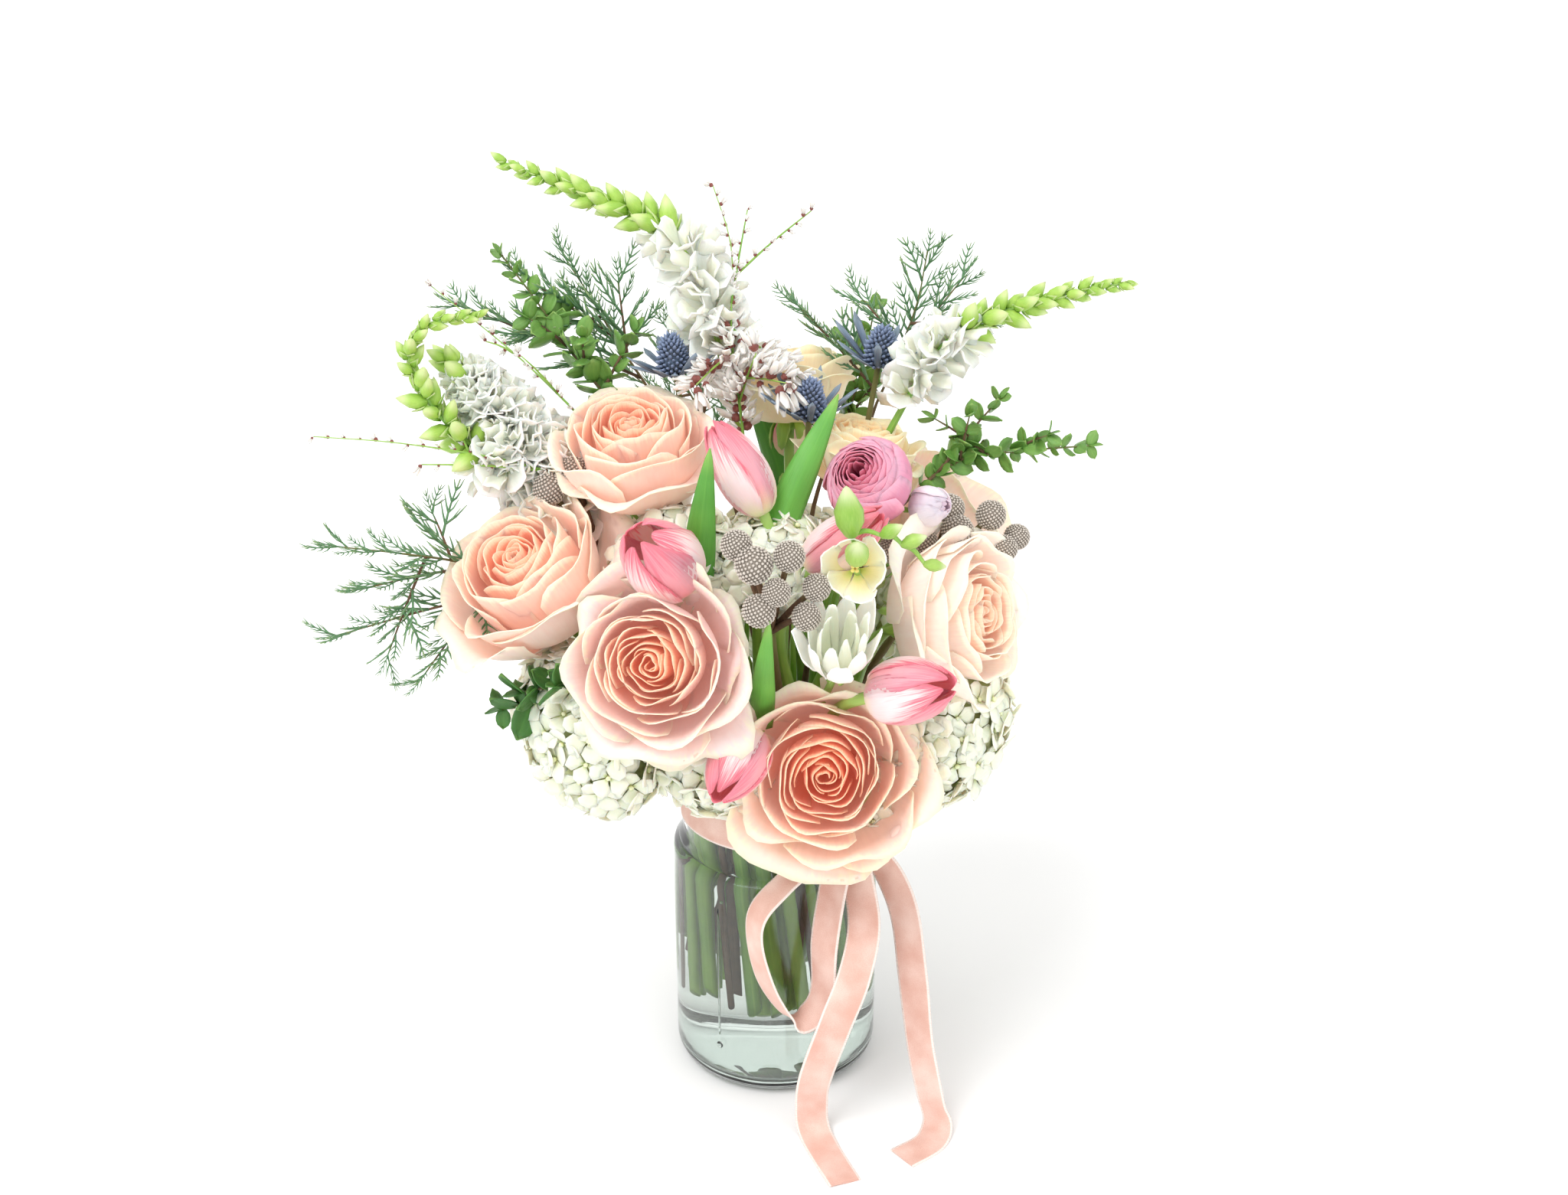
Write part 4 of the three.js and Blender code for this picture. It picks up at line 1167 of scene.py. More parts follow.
@dataclass
class Hydrangea(Flower):
    """A dome of small four-petalled florets over a green core."""

    florets: int = 110
    FLORET = 17.5
    finish: PetalFinish = PetalFinish("hydrangea_cream", Slot.HYDRANGEA, "#ecf1b8", "#f9f8e0", "#fdfdf0",
                                      "#d8e496", 0.8, 0.28, 0.6, 0.2, 0.2, 0.55, 0.0)

    @staticmethod
    def floret() -> Skin:
        """Four cupped petals about a small eye, one unit across."""
        skin = Skin()
        rng = np.random.default_rng(5)
        form = PetalForm((0.04, 0.0), (0.2, 0.04), (0.42, 0.12), (0.54, 0.10), 0.74, 0.5, 0.34, 0.0, 0.02,
                         1.2, 0.03)
        for i in range(4):
            skin.sheet(form.grid(1.0, 1.0, i * math.pi / 2 + 0.1, rng, 4, 5), 0.03, 0.8, 0.5)
        skin.turned([(0, 0), (0.06, 0.02), (0.07, 0.09), (0, 0.13)], 5, 0.0, 0.5)
        return skin

    def build(self, bunch: Bunch) -> None:
        """Builds and shows the dome."""
        sphere = golden_sphere(self.florets)
        sphere += self.rng.normal(size=sphere.shape) * 0.05
        sphere /= np.linalg.norm(sphere, axis=1, keepdims=True)
        size = np.array([self.radius, self.radius, self.height / 2])
        local = sphere * (size - 2.5) + [0, 0, self.height / 2]
        outward = sphere / size
        points = self.place(local)
        keep = bunch.clear(self.node, points)
        points, outward = points[keep], (outward @ self.axes.T)[keep]
        turns = []
        for direction in outward:
            leaning = unit(direction) + self.rng.normal(size=3) * 0.22
            turns.append(euler_of(basis(leaning, self.rng.uniform(0, 6))))
        sizes = np.full(len(points), self.FLORET)
        mesh = bunch.scatter.grow(self.node + "_florets", self.floret(), points, turns, sizes, self.finish,
                                  self.seed)
        show(mesh, self.finish, self.node)
        core = Skin()
        outline = [(0, 0.02), (0.62, 0.10), (0.84, 0.42), (0.74, 0.74), (0.36, 0.90), (0, 0.93)]
        core.turned([(r * self.radius * 0.95, h * self.height) for r, h in outline], 20)
        deep = GreenFinish("hydrangea_core", Slot.HYDRANGEA, "#aebc74", "#d6dda0", "#e4e8bc", 0.9, 120.0,
                           0.001, 0.7)
        heart = Skin()
        heart.take(core, self.place, 0.5, 0.5)
        show(heart.mesh(self.node + "_core"), deep)


@dataclass
class Eryngium(Flower):
    """A blue thistle: a cone of small spines on a collar of long ones."""

    woody: bool = True
    SPINES = 150
    BRACTS = 13
    COLLAR = 21.0

    def find_seat(self) -> Array:
        """The cone's tip is the node's furthest point along its axis."""
        facing = unit(self.facing)
        apex = self.trace.points[(self.trace.points @ facing).argmax()]
        return apex - facing * (self.height - 1.0)

    def build(self, bunch: Bunch) -> None:
        """Builds and shows the cone and the collar."""
        spine = Skin()
        spine.tube(np.array([[0, 0, 0], [0, 0, 0.5], [0, 0, 1.0]]), [0.32, 0.26, 0.04], 5)
        k = np.arange(self.SPINES) + 0.5
        z = k / self.SPINES
        outline = np.interp(z, [0, 0.3, 0.65, 0.92, 1], [0.8, 0.92, 0.76, 0.42, 0.08]) * (self.radius - 1.2)
        turn = k * GOLDEN_TURN
        local = np.stack([outline * np.cos(turn), outline * np.sin(turn), z * (self.height - 2)], axis=1)
        outward = np.stack([np.cos(turn), np.sin(turn), 0.3 + 1.4 * z**2], axis=1) @ self.axes.T
        turns = [euler_of(basis(direction)) for direction in outward]
        blue = GrainFinish("eryngium_cone", Slot.ERYNGIUM, "#3c4f6a", "#8e9fc0", 0.7)
        sizes = np.full(self.SPINES, 3.0)
        cone = bunch.scatter.grow(self.node + "_cone", spine, self.place(local), turns, sizes, blue,
                                  self.seed)
        show(cone, blue, self.node)
        collar = Skin()
        core = Skin()
        core.turned([(0, -0.5), (self.radius * 0.7, 0.5), (self.radius * 0.78, self.height * 0.4),
                     (self.radius * 0.3, self.height * 0.88), (0, self.height * 0.93)], 12)
        collar.take(core, self.place, 0.2, 0.2)
        for i in range(self.BRACTS):
            reach = self.COLLAR * self.rng.uniform(0.85, 1.12)
            rise = self.rng.uniform(0.35, 0.85)
            form = PetalForm((2.0, 0.0), (reach * 0.4, 1.0), (reach * 0.75, reach * rise * 0.6),
                             (reach, reach * rise), 0.17, 1.0, 0.75, fold=1.0)
            angle = i * 2 * math.pi / self.BRACTS
            grid = form.grid(1.0, 1.0, angle, self.rng, 9, 5)
            collar.sheet(self.place(grid), 0.5, 0.6, self.rng.random())
        slate = GreenFinish("eryngium_bract", Slot.ERYNGIUM, "#41566f", "#7689a0", "#9fb0be", 0.6, 150.0,
                            0.0004, 0.6)
        show(collar.mesh(self.node + "_collar"), slate)


# ------------------------------------------------------------------------------------ balls and sprigs
@dataclass
class Brunia:
    """Silver balls of tight buds on scaly stalks."""

    node: str
    seed: int
    balls: tuple[tuple[float, float, float, float], ...]
    stem_radius: float = 2.0
    BUMPS = 260

    def build(self, bunch: Bunch) -> None:
        """Builds and shows the balls, and adds the stem and stalks."""
        trace = Trace(self.node)
        rng = np.random.default_rng(self.seed)
        line = trace.stem()
        bunch.stem(line, self.stem_radius, True, rng)
        points, turns, sizes = [], [], []
        hearts = Skin()
        for *centre, radius in self.balls:
            centre = np.array(centre, dtype=float)
            sphere = golden_sphere(self.BUMPS)
            points.append(centre + sphere * (radius - 0.7))
            turns += [euler_of(basis(direction)) for direction in sphere]
            sizes.append(np.full(self.BUMPS, radius * 0.135))
            heart = Skin()
            angles = np.linspace(-math.pi / 2, math.pi / 2, 9)
            heart.turned([(math.cos(a) * (radius - 0.8), math.sin(a) * (radius - 0.8)) for a in angles], 14)
            hearts.take(heart, lambda points: points + centre, 0.2, 0.2, 0.2)
            middle = line[-1] * 0.45 + centre * 0.55 + [0, -2, 2]
            stalk = spline(np.array([line[-1], middle, centre]), 10)
            bunch.woody.tube(stalk, np.linspace(1.6, 1.2, 10), 7, 0.5, rng.random())
        bump = Skin()
        bump.turned([(0, -0.2), (0.72, 0.1), (0.5, 0.6), (0, 0.85)], 5)
        silver = GrainFinish("brunia_silver", Slot.BRUNIA, "#9a8f83", "#d2c9be")
        mesh = bunch.scatter.grow(self.node + "_buds", bump, np.vstack(points), turns, np.concatenate(sizes),
                                  silver, self.seed)
        show(mesh, silver, self.node)
        show(hearts.mesh(self.node + "_hearts"), silver)


@dataclass
class Spike:
    """A flower spike: buds at its tip that open into florets towards its foot."""

    node: str
    seed: int
    path: tuple[Triple, ...]
    radius: float
    blooms: float
    count: int = 30
    stem_radius: float = 2.0
    full: bool = False

    def bud(self) -> Skin:
        """A pointed bud of unit length along +Z."""
        skin = Skin()
        skin.turned([(0, 0), (0.16, 0.06), (0.27, 0.3), (0.25, 0.6), (0.12, 0.9), (0, 1.08)], 7)
        rng = np.random.default_rng(9)
        form = PetalForm((0.14, 0.02), (0.26, 0.1), (0.32, 0.3), (0.36, 0.5), 0.8, 0.9, 0.7)
        for i in range(2):
            skin.sheet(form.grid(1.0, 1.0, i * 3.3, rng, 4, 3), 0.03, 0.3, 0.1)
        return skin

    def bloom(self) -> Skin:
        """An open ruffled floret of unit length along +Z."""
        skin = Skin()
        rng = np.random.default_rng(11)
        whorls, half_span = [(3, 0.75, 0.7), (2, 0.4, 1.1)], 0.85
        if self.full:
            whorls, half_span = [(5, 0.78, 0.5), (5, 0.5, 0.8), (3, 0.25, 0.95)], 0.66
        for count, reach, rise in whorls:
            form = PetalForm((0.05, 0.0), (0.24, 0.2), (reach * 0.8, rise * 0.7), (reach, rise), half_span,
                             0.4, 0.2, 0.03, 0.05, 2.0, 0.06)
            for i in range(count):
                grid = form.grid(1.0, 1.0, i * 2 * math.pi / count + reach * 4, rng, 5, 6)
                skin.sheet(grid, 0.03, reach, rng.random())
        return skin

    def build(self, bunch: Bunch) -> None:
        """Builds and shows the buds and florets, and adds the stem."""
        rng = np.random.default_rng(self.seed)
        axis = spline(np.array(self.path), 24)
        line = np.vstack([Trace(self.node).stem(), axis[1:]])
        bunch.stem(line, self.stem_radius, False, rng, 0.3)
        path = spline(axis, self.count)
        tangents = np.gradient(path, axis=0)
        parts: dict[bool, list[tuple[Array, Triple, float]]] = {True: [], False: []}
        for i, (point, tangent) in enumerate(zip(path, tangents)):
            share = i / (self.count - 1)
            axes = basis(tangent, i * GOLDEN_TURN)
            aside, ahead = 1.1 - 0.6 * share, 0.35 + 0.9 * share
            out = unit(axes[:, 0] * aside + axes[:, 2] * ahead + rng.normal(size=3) * 0.12)
            size = self.radius * (1.25 - 0.8 * share**1.3)
            opened = share < self.blooms
            size *= 1.3 if opened else 1.35
            parts[opened].append((point + out * 0.8, euler_of(basis(out, rng.uniform(0, 6))), size))
        slot = Slot.STOCK if self.full else Slot.SNAPDRAGON
        white = PetalFinish("spike_bloom", slot, "#f2f5da", "#fdfdf6", "#ffffff",
                            "#dbe8a0", 0.85, 0.3, 0.5, 0.2, 0.3, 0.5, 0.0)
        lime = GreenFinish("spike_bud", slot, "#7fb236", "#b9db66", "#e3efb0",
                           0.6, 120.0, 0.0003, 0.45)
        stands_for = [self.node]
        kinds = ((True, self.bloom(), white, "_florets"), (False, self.bud(), lime, "_buds"))
        for opened, shape, finish, label in kinds:
            if not parts[opened]:
                continue
            points, turns, sizes = zip(*parts[opened])
            mesh = bunch.scatter.grow(self.node + label, shape, np.array(points), turns, sizes, finish,
                                      self.seed)
            show(mesh, finish, *stands_for)
            stands_for = []


@dataclass
class Sprig:
    """A twig that branches, along the routes that its node follows, with a shape repeated along them."""

    node: str
    seed: int
    path: tuple[Triple, ...]
    twigs: tuple[Triple, ...]
    spacing: float = 4.0
    size: float = 9.0
    stem_radius: float = 1.5
    woody: bool = True

    def lines(self) -> list[Array]:
        """The main axis, and each twig from where it leaves the axis to its tip."""
        axis = spline(np.array(self.path), 101)
        found = [axis[::5]]
        for i, tip in enumerate(self.twigs):
            joint = axis[round(12 + 60 * i / len(self.twigs))]
            found.append(spline(np.array([joint, (joint + tip) / 2 + [0, 0, 1], tip]), 12))
        return found

    def shape(self) -> Skin:
        """What repeats along the lines, of unit size along +Z."""
        raise NotImplementedError

    def finish(self) -> Finish:
        """The finish of what repeats."""
        raise NotImplementedError

    def lay(self, points: Array, rng: np.random.Generator) -> list[tuple[Array, Triple, float]]:
        """Places the shape along one line.

        Args:
            points: the line's points, evenly spaced.
            rng: varies the turns and sizes.

        Returns:
            A point, its Euler angles and its size for each copy.
        """
        raise NotImplementedError

    def build(self, bunch: Bunch) -> None:
        """Builds and shows the sprig, and adds its twigs to the stems."""
        rng = np.random.default_rng(self.seed)
        lines = self.lines()
        stem = Trace(self.node).stem()
        bunch.stem(np.vstack([stem, lines[0][1:]]), self.stem_radius, self.woody, rng, 0.25)
        copies: list[tuple[Array, Triple, float]] = []
        for k, line in enumerate(lines):
            run = float(np.linalg.norm(np.diff(line, axis=0), axis=1).sum())
            count = max(4, int(run / self.spacing))
            path = spline(line, count)
            if k:
                skin = bunch.woody if self.woody else bunch.green
                skin.tube(path, np.linspace(self.stem_radius * 0.6, 0.3, count), 6, 0.5, rng.random())
            copies += self.lay(path, rng)
        points, turns, sizes = zip(*copies)
        keep = bunch.clear(self.node, np.array(points), 0.85)
        chosen = np.flatnonzero(keep)
        finish = self.finish()
        mesh = bunch.scatter.grow(self.node + "_growth", self.shape(), np.array(points)[chosen],
                                  [turns[i] for i in chosen], [sizes[i] for i in chosen], finish, self.seed)
        show(mesh, finish, self.node)


@dataclass
class Boxwood(Sprig):
    """Opposite pairs of small firm oval leaves."""

    spacing: float = 4.8
    size: float = 12.0

    def shape(self) -> Skin:
        """An oval cupped leaf with a short stalk."""
        skin = Skin()
        across, along = np.linspace(-1, 1, 5)[None, :], np.linspace(0, 1, 6)[:, None]
        half = 0.36 * np.sin(np.clip(along * 0.96 + 0.04, 0, 1)**0.95 * math.pi)**0.5
        grid = np.stack([across * half, 0.07 * across**2 - 0.10 * (along - 0.4)**2, along + 0 * across],
                        axis=-1)
        skin.sheet(grid, 0.04)
        return skin

    def finish(self) -> Finish:
        """Glossy mid green."""
        return GreenFinish("boxwood_leaf", Slot.BOXWOOD, "#4a8034", "#83b256", "#a6ca6e", 0.85, 70.0, 0.0003,
                           0.32)

    def lay(self, points: Array, rng: np.random.Generator) -> list[tuple[Array, Triple, float]]:
        """A pair of leaves at each point, each pair across the last."""
        found = []
        tangents = np.gradient(points, axis=0)
        for i, (point, tangent) in enumerate(zip(points, tangents)):
            axes = basis(tangent, i * 1.45 + rng.uniform(-0.2, 0.2))
            for sign in (-1, 1):
                out = unit(axes[:, 0] * sign + axes[:, 2] * rng.uniform(0.3, 1.0) + rng.normal(size=3) * 0.12)
                size = self.size * (1.0 - 0.45 * (i / len(points))**2) * rng.uniform(0.8, 1.15)
                found.append((point, euler_of(basis(out, rng.uniform(0, 6))), size))
        tip = basis(tangents[-1])
        found.append((points[-1], euler_of(tip), self.size * 0.6))
        return found


@dataclass
class LeafTwig(Boxwood):
    """A short twig of darker leaves."""

    size: float = 17.0
    spacing: float = 6.0

    def finish(self) -> Finish:
        """Dark green."""
        return GreenFinish("twig_leaf", Slot.FOLIAGE, "#2c5724", "#4f8a38", "#6f9f4c", 0.85, 60.0, 0.0003,
                           0.4)


@dataclass
class Genista(Sprig):
    """Thin twigs set with small white pea blossoms in red-brown cups."""

    spacing: float = 4.2
    size: float = 9.0
    stem_radius: float = 1.0
    woody: bool = False
    BLOOM_BELOW = 352.0

    def shape(self) -> Skin:
        """Three small rounded petals folded together."""
        skin = Skin()
        rng = np.random.default_rng(3)
        form = PetalForm((0.05, 0.1), (0.2, 0.4), (0.4, 0.8), (0.34, 1.15), 0.62, 0.4, 0.4, 0.0, 0.04, 1.5)
        for i in range(4):
            skin.sheet(form.grid(1.0, 1.0, i * math.pi / 2, rng, 4, 4), 0.05, 0.9, 0.5)
        skin.turned([(0, -0.05), (0.14, 0.0), (0.24, 0.2), (0.14, 0.36), (0, 0.38)], 6, 0.0, 0.5)
        return skin

    def finish(self) -> Finish:
        """White, with a red-brown heart."""
        return PetalFinish("genista_white", Slot.GENISTA, "#7d3f36", "#f6f0e8", "#fffdf8", "#8c5148", 0.8,
                           0.3, 0.5, 0.2, 0.3, 0.55)

    def lay(self, points: Array, rng: np.random.Generator) -> list[tuple[Array, Triple, float]]:
        """Blossoms on the low part, and higher up a few small closed buds."""
        found = []
        tangents = np.gradient(points, axis=0)
        for point, tangent in zip(points, tangents):
            low = point[2] < self.BLOOM_BELOW and abs(point[0]) < 60
            for _ in range(2 if low else 1):
                axes = basis(tangent, rng.uniform(0, 6))
                out = unit(axes[:, 0] + axes[:, 2] * 0.7)
                stand, size = (rng.uniform(0.6, 3.0), self.size) if low else (0.3, self.size * 0.4)
                found.append((point + out * stand, euler_of(basis(out)), size * rng.uniform(0.75, 1.2)))
        return found


@dataclass
class Cypress(Sprig):
    """Flat feathery sprays of fine scaly threads."""

    spacing: float = 4.2
    size: float = 31.0
    stem_radius: float = 1.3

    def shape(self) -> Skin:
        """A frond: a bent axis with alternate threads, in the X-Z plane."""
        skin = Skin()
        rng = np.random.default_rng(17)
        main = spline(np.array([[0, 0, 0], [0.03, 0.04, 0.5], [-0.02, 0.10, 1.0]]), 6)
        skin.tube(main, np.linspace(0.030, 0.012, 6), 4, 0.4, 0.4)
        for i in range(10):
            side = 1 if i % 2 else -1
            start = main[int(1 + i * 0.4)] * 1.0
            reach = 0.42 * (1 - i / 14) * rng.uniform(0.85, 1.15)
            lean = np.array([side * 0.62, rng.uniform(-0.1, 0.15), 0.78])
            line = np.array([start, start + lean * reach * 0.5, start + lean * reach + [0, 0.04, 0.06]])
            skin.tube(line, [0.022, 0.018, 0.008], 4, 0.6, rng.random())
        return skin

    def finish(self) -> Finish:
        """Blue-green with yellow-green tips."""
        return GreenFinish("cypress_thread", Slot.CYPRESS, "#4b8353", "#86b383", "#b0c888", 0.7, 130.0,
                           0.0006, 0.6)

    def lay(self, points: Array, rng: np.random.Generator) -> list[tuple[Array, Triple, float]]:
        """Fronds to both sides of the twig and one at its tip."""
        found = []
        tangents = np.gradient(points, axis=0)
        for i, (point, tangent) in enumerate(zip(points, tangents)):
            share = i / len(points)
            if share < 0.12:
                continue
            side = 1 if i % 2 else -1
            axes = basis(tangent, rng.uniform(-0.5, 0.5) + (0 if side > 0 else math.pi))
            out = unit(axes[:, 0] * 0.75 + axes[:, 2] * 0.9 + rng.normal(size=3) * 0.15)
            size = self.size * (1.0 - 0.5 * share) * rng.uniform(0.75, 1.1)
            found.append((point, euler_of(basis(out, rng.uniform(-0.6, 0.6))), size))
        found.append((points[-1] * 0.35 + points[-2] * 0.65, euler_of(basis(tangents[-1])), self.size * 0.45))
        return found


# ------------------------------------------------------------------------------------ jar, water and ribbon
@dataclass
class Jar:
    """The canning jar and its water, in millimetres."""

    BODY = 47.5
    NECK = 42.7
    HEIGHT = 166.0
    FOOT = 38.0
    SHOULDER = 111.0
    NECK_FROM = 121.0
    WALL = 3.4
    FLOOR = 5.0
    SIDES = 96
    WATER = 114.0
    THREADS = (150.5, 156.0, 161.0)
    SEAM_AT = -2.15   # where the raised upright line stands, radians from +X
    glass: ClearFinish = ClearFinish("jar_glass", Slot.GLASS, "#f4faf7", 1.48, 0.0006, 26.0)
    liquid: ClearFinish = ClearFinish("jar_water", Slot.WATER, "#fbfdfb", 1.33, 0.0001, 60.0)

    @staticmethod
    def arc(r: float, z: float, radius: float, start: float, end: float,
            steps: int) -> list[tuple[float, float]]:
        """Points on an arc from one angle to another, in degrees."""
        angles = np.radians(np.linspace(start, end, steps))
        return [(r + radius * math.cos(a), z + radius * math.sin(a)) for a in angles]

    def outline(self) -> list[tuple[float, float]]:
        """The wall's section, from the middle of the base outside, over the rim and down to the floor."""
        corner = self.BODY - self.FOOT
        inner, throat = self.BODY - self.WALL, self.NECK - self.WALL
        bend = corner - self.WALL + 1
        bead = self.arc(self.NECK - 0.2, 148.0, 1.6, -80, 80, 7)
        threads = [p for z in self.THREADS for p in self.arc(self.NECK - 0.5, z, 1.3, -60, 60, 5)]
        walls = [(self.BODY, z) for z in np.linspace(corner + 8, self.SHOULDER - 2, 8)]
        return [(0, 1.6), (14, 1.4), (30, 0.6), (34, 0.0), *self.arc(self.FOOT, corner, corner, -88, 0, 9),
                *walls, *self.arc(self.BODY - 7, self.SHOULDER, 7.0, 0, 42, 5),
                (self.NECK + 0.6, self.NECK_FROM - 0.6), (self.NECK, self.NECK_FROM + 1.2),
                (self.NECK, 134.0), *bead, *threads, *self.arc(self.NECK - 1.4, self.HEIGHT - 1.4, 1.4, 0,
                                                               90, 4),
                *self.arc(throat + 1.1, self.HEIGHT - 1.1, 1.1, 90, 180, 4), (throat, 140.0),
                (throat, self.NECK_FROM + 1), *self.arc(inner - 8, self.SHOULDER - 2, 8.0, 38, 0, 5),
                *[(inner, z) for z in np.linspace(self.SHOULDER - 8, 24, 8)],
                *self.arc(inner - bend, self.FLOOR + bend, bend, 0, -86, 9), (24, self.FLOOR + 0.4),
                (0, self.FLOOR + 1.4)]

    def build(self) -> None:
        """Builds and shows the glass, its raised marks and the water."""
        skin = Skin()
        skin.turned(self.outline(), self.SIDES)
        points = skin.points[0]
        angle = np.arctan2(points[:, 1], points[:, 0])
        outside = np.hypot(points[:, 0], points[:, 1]) > self.BODY - 0.6
        wall = outside & (points[:, 2] > 20) & (points[:, 2] < self.SHOULDER)
        ripple = 0.16 * np.sin(angle * 5 + 0.06 * points[:, 2]) * wall
        points[:, 0] += ripple * np.cos(angle)
        points[:, 1] += ripple * np.sin(angle)
        show(skin.mesh("jar_glass"), self.glass, "jar")
        self.marks()
        self.water()

    def marks(self) -> None:
        """Adds the raised upright line and the small round bump under it."""
        skin = Skin()
        out = np.array([math.cos(self.SEAM_AT), math.sin(self.SEAM_AT), 0.0])
        line = np.array([out * (self.BODY - 0.15) + [0, 0, z] for z in np.linspace(30, 98, 18)])
        skin.tube(line, [0.3, *[0.55] * 16, 0.3], 8)
        for k, (height, size) in enumerate(((24.0, 1.7), (102.0, 0.9))):
            turn = self.SEAM_AT + 0.04 * k
            spot = np.array([math.cos(turn), math.sin(turn), 0.0]) * (self.BODY - 0.6) + [0, 0, height]
            bump = Skin()
            bump.turned([(0, -1), (size * 0.8, -0.4), (size, 0.2), (size * 0.75, 0.9), (0, 1.3)], 12)
            skin.take(bump, lambda points: points @ basis(out).T + spot, 0.5, 0.5)
        show(skin.mesh("jar_raised_marks"), self.glass)

    def water(self) -> None:
        """Fills the jar to just over its shoulder, with the surface climbing a little at the wall."""
        radius, bend = self.BODY - self.WALL + 0.12, self.BODY - self.FOOT - self.WALL + 1
        skin = Skin()
        top = self.WATER
        edge = radius - 1.1
        skin.turned([(0, self.FLOOR + 1.28), (24, self.FLOOR + 0.28),
                     *self.arc(radius - bend, self.FLOOR + bend, bend, -86, 0, 9),
                     *[(radius, z) for z in np.linspace(24, self.SHOULDER - 3, 8)], (edge + 0.5, top + 0.9),
                     (edge - 0.6, top + 0.15), (edge - 2.4, top - 0.35), (edge - 5, top - 0.5),
                     (20, top - 0.5), (0, top - 0.5)], self.SIDES)
        show(skin.mesh("jar_water"), self.liquid, "water")


@dataclass
class Ribbon:
    """The velvet ribbon: a turn round the neck, a knot, a loop and two tails, in millimetres."""

    WIDTH = 15.0
    THICKNESS = 0.7
    BAND_STEPS = 150
    HANGING_STEPS = 110
    KNOT_STEPS = 60
    COLUMNS = 13
    finish: VelvetFinish = VelvetFinish("ribbon_velvet", Slot.VELVET)

    def strip(self, name: str, centres: Array, sides: Array, widths: Array,
              node: str, crease: float = 0.5) -> None:
        """Shows one length of ribbon.

        Args:
            name: the piece's name.
            centres: the points of its middle line.
            sides: the direction of its width at each point.
            widths: its width at each point.
            node: the node that it stands for.
            crease: how deep its soft cross waves are.
        """
        along = np.gradient(centres, axis=0)
        along /= np.linalg.norm(along, axis=1, keepdims=True)
        sides = sides - along * (sides * along).sum(axis=1, keepdims=True)
        sides /= np.linalg.norm(sides, axis=1, keepdims=True)
        normals = np.cross(along, sides)
        across = np.linspace(-0.5, 0.5, self.COLUMNS)
        run = np.linspace(0, 1, len(centres))[:, None]
        wave = crease * (np.sin(across * 5 + run * 9) * 0.5 + np.sin(run * 23 + across * 3) * 0.4)
        grid = (centres[:, None] + sides[:, None] * (across * widths[:, None])[..., None]
                + normals[:, None] * wave[..., None])
        lowest = self.THICKNESS / 2 + 0.05
        grid[..., 2] = np.maximum(grid[..., 2], lowest)
        skin = Skin()
        skin.sheet(grid, self.THICKNESS)
        piece = show(skin.mesh(name), self.finish, node)

    def hanging(self, node: str, path: Sequence[Triple], first: Triple, last: Triple) -> None:
        """Builds a loop or tail along its route.

        Args:
            node: the node that it stands for.
            path: the route that its node follows.
            first: the direction of its width where it starts.
            last: the same where it ends.
        """
        count = self.HANGING_STEPS
        share = np.linspace(0, 1, count)[:, None]
        sides = np.array(first) * (1 - share) + np.array(last) * share
        self.strip(node + "_velvet", spline(np.array(path), count), sides,
                   np.full(count, self.WIDTH), node)

    def build(self) -> None:
        """Builds and shows the ribbon's pieces."""
        low, high = (np.array(corner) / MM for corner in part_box("ribbon_band"))
        middle = (low[2] + high[2]) / 2
        radius = Jar.NECK + 0.75
        angle = np.linspace(0, 2 * math.pi, self.BAND_STEPS) - 0.95
        dip = 0.5 * np.sin(angle * 2)
        centres = np.stack([radius * np.cos(angle), radius * np.sin(angle), middle + dip], axis=1)
        up = np.tile([0.0, 0.0, 1.0], (len(angle), 1))
        self.strip("ribbon_band_velvet", centres, up,
                   np.full(self.BAND_STEPS, self.WIDTH),
                   "ribbon_band", 0.12)
        self.knot()
        self.hanging("ribbon_loop", [
            (21, -52, 134), (4, -57, 122), (-9, -60, 104), (-5, -62, 76), (6, -63, 56), (14, -63, 55),
            (21, -62, 66),
            (22, -60, 92), (25, -56, 114), (27.5, -53, 127)], (0.35, -0.9, 0), (0.8, -0.6, 0))
        self.hanging("ribbon_tail_long", [
            (36.5, -50, 124), (39.5, -60, 102), (35, -71, 82), (27, -75, 60), (18, -74, 30), (16.5, -72, 13),
            (17.5, -74, 2.8), (22, -87, 0.6), (31, -110, 0.6)], (0.9, -0.44, 0), (0.93, 0.36, 0))
        self.hanging("ribbon_tail_short", [
            (42, -42, 131), (51, -46, 120), (58, -51, 102), (62, -55, 74), (66, -60, 40), (71, -66, 14),
            (74, -71, 3), (70, -82, 0.6), (57, -93, 0.6)], (0.9, -0.44, 0), (0.75, -0.65, 0))

    def knot(self) -> None:
        """A short turn of ribbon that goes over the band and back under it."""
        low, high = (np.array(corner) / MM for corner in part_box("ribbon_knot"))
        middle = (low + high) / 2
        out = unit([middle[0], middle[1], 0])
        count = self.KNOT_STEPS
        angle = np.linspace(-0.3, 2 * math.pi - 0.35, count)
        centres = (middle + out * 0.6 + out[None] * (np.cos(angle) * 5.4)[:, None]
                   + np.array([0, 0, 1.0]) * (np.sin(angle) * 8.2)[:, None])
        across = np.cross(out, [0, 0, 1.0])
        sides = np.tile(across, (count, 1)) + 0.25 * np.sin(angle)[:, None] * out
        widths = self.WIDTH * (0.86 - 0.12 * np.cos(angle))
        self.strip("ribbon_knot_velvet", centres, sides, widths,
                   "ribbon_knot", 1.2)


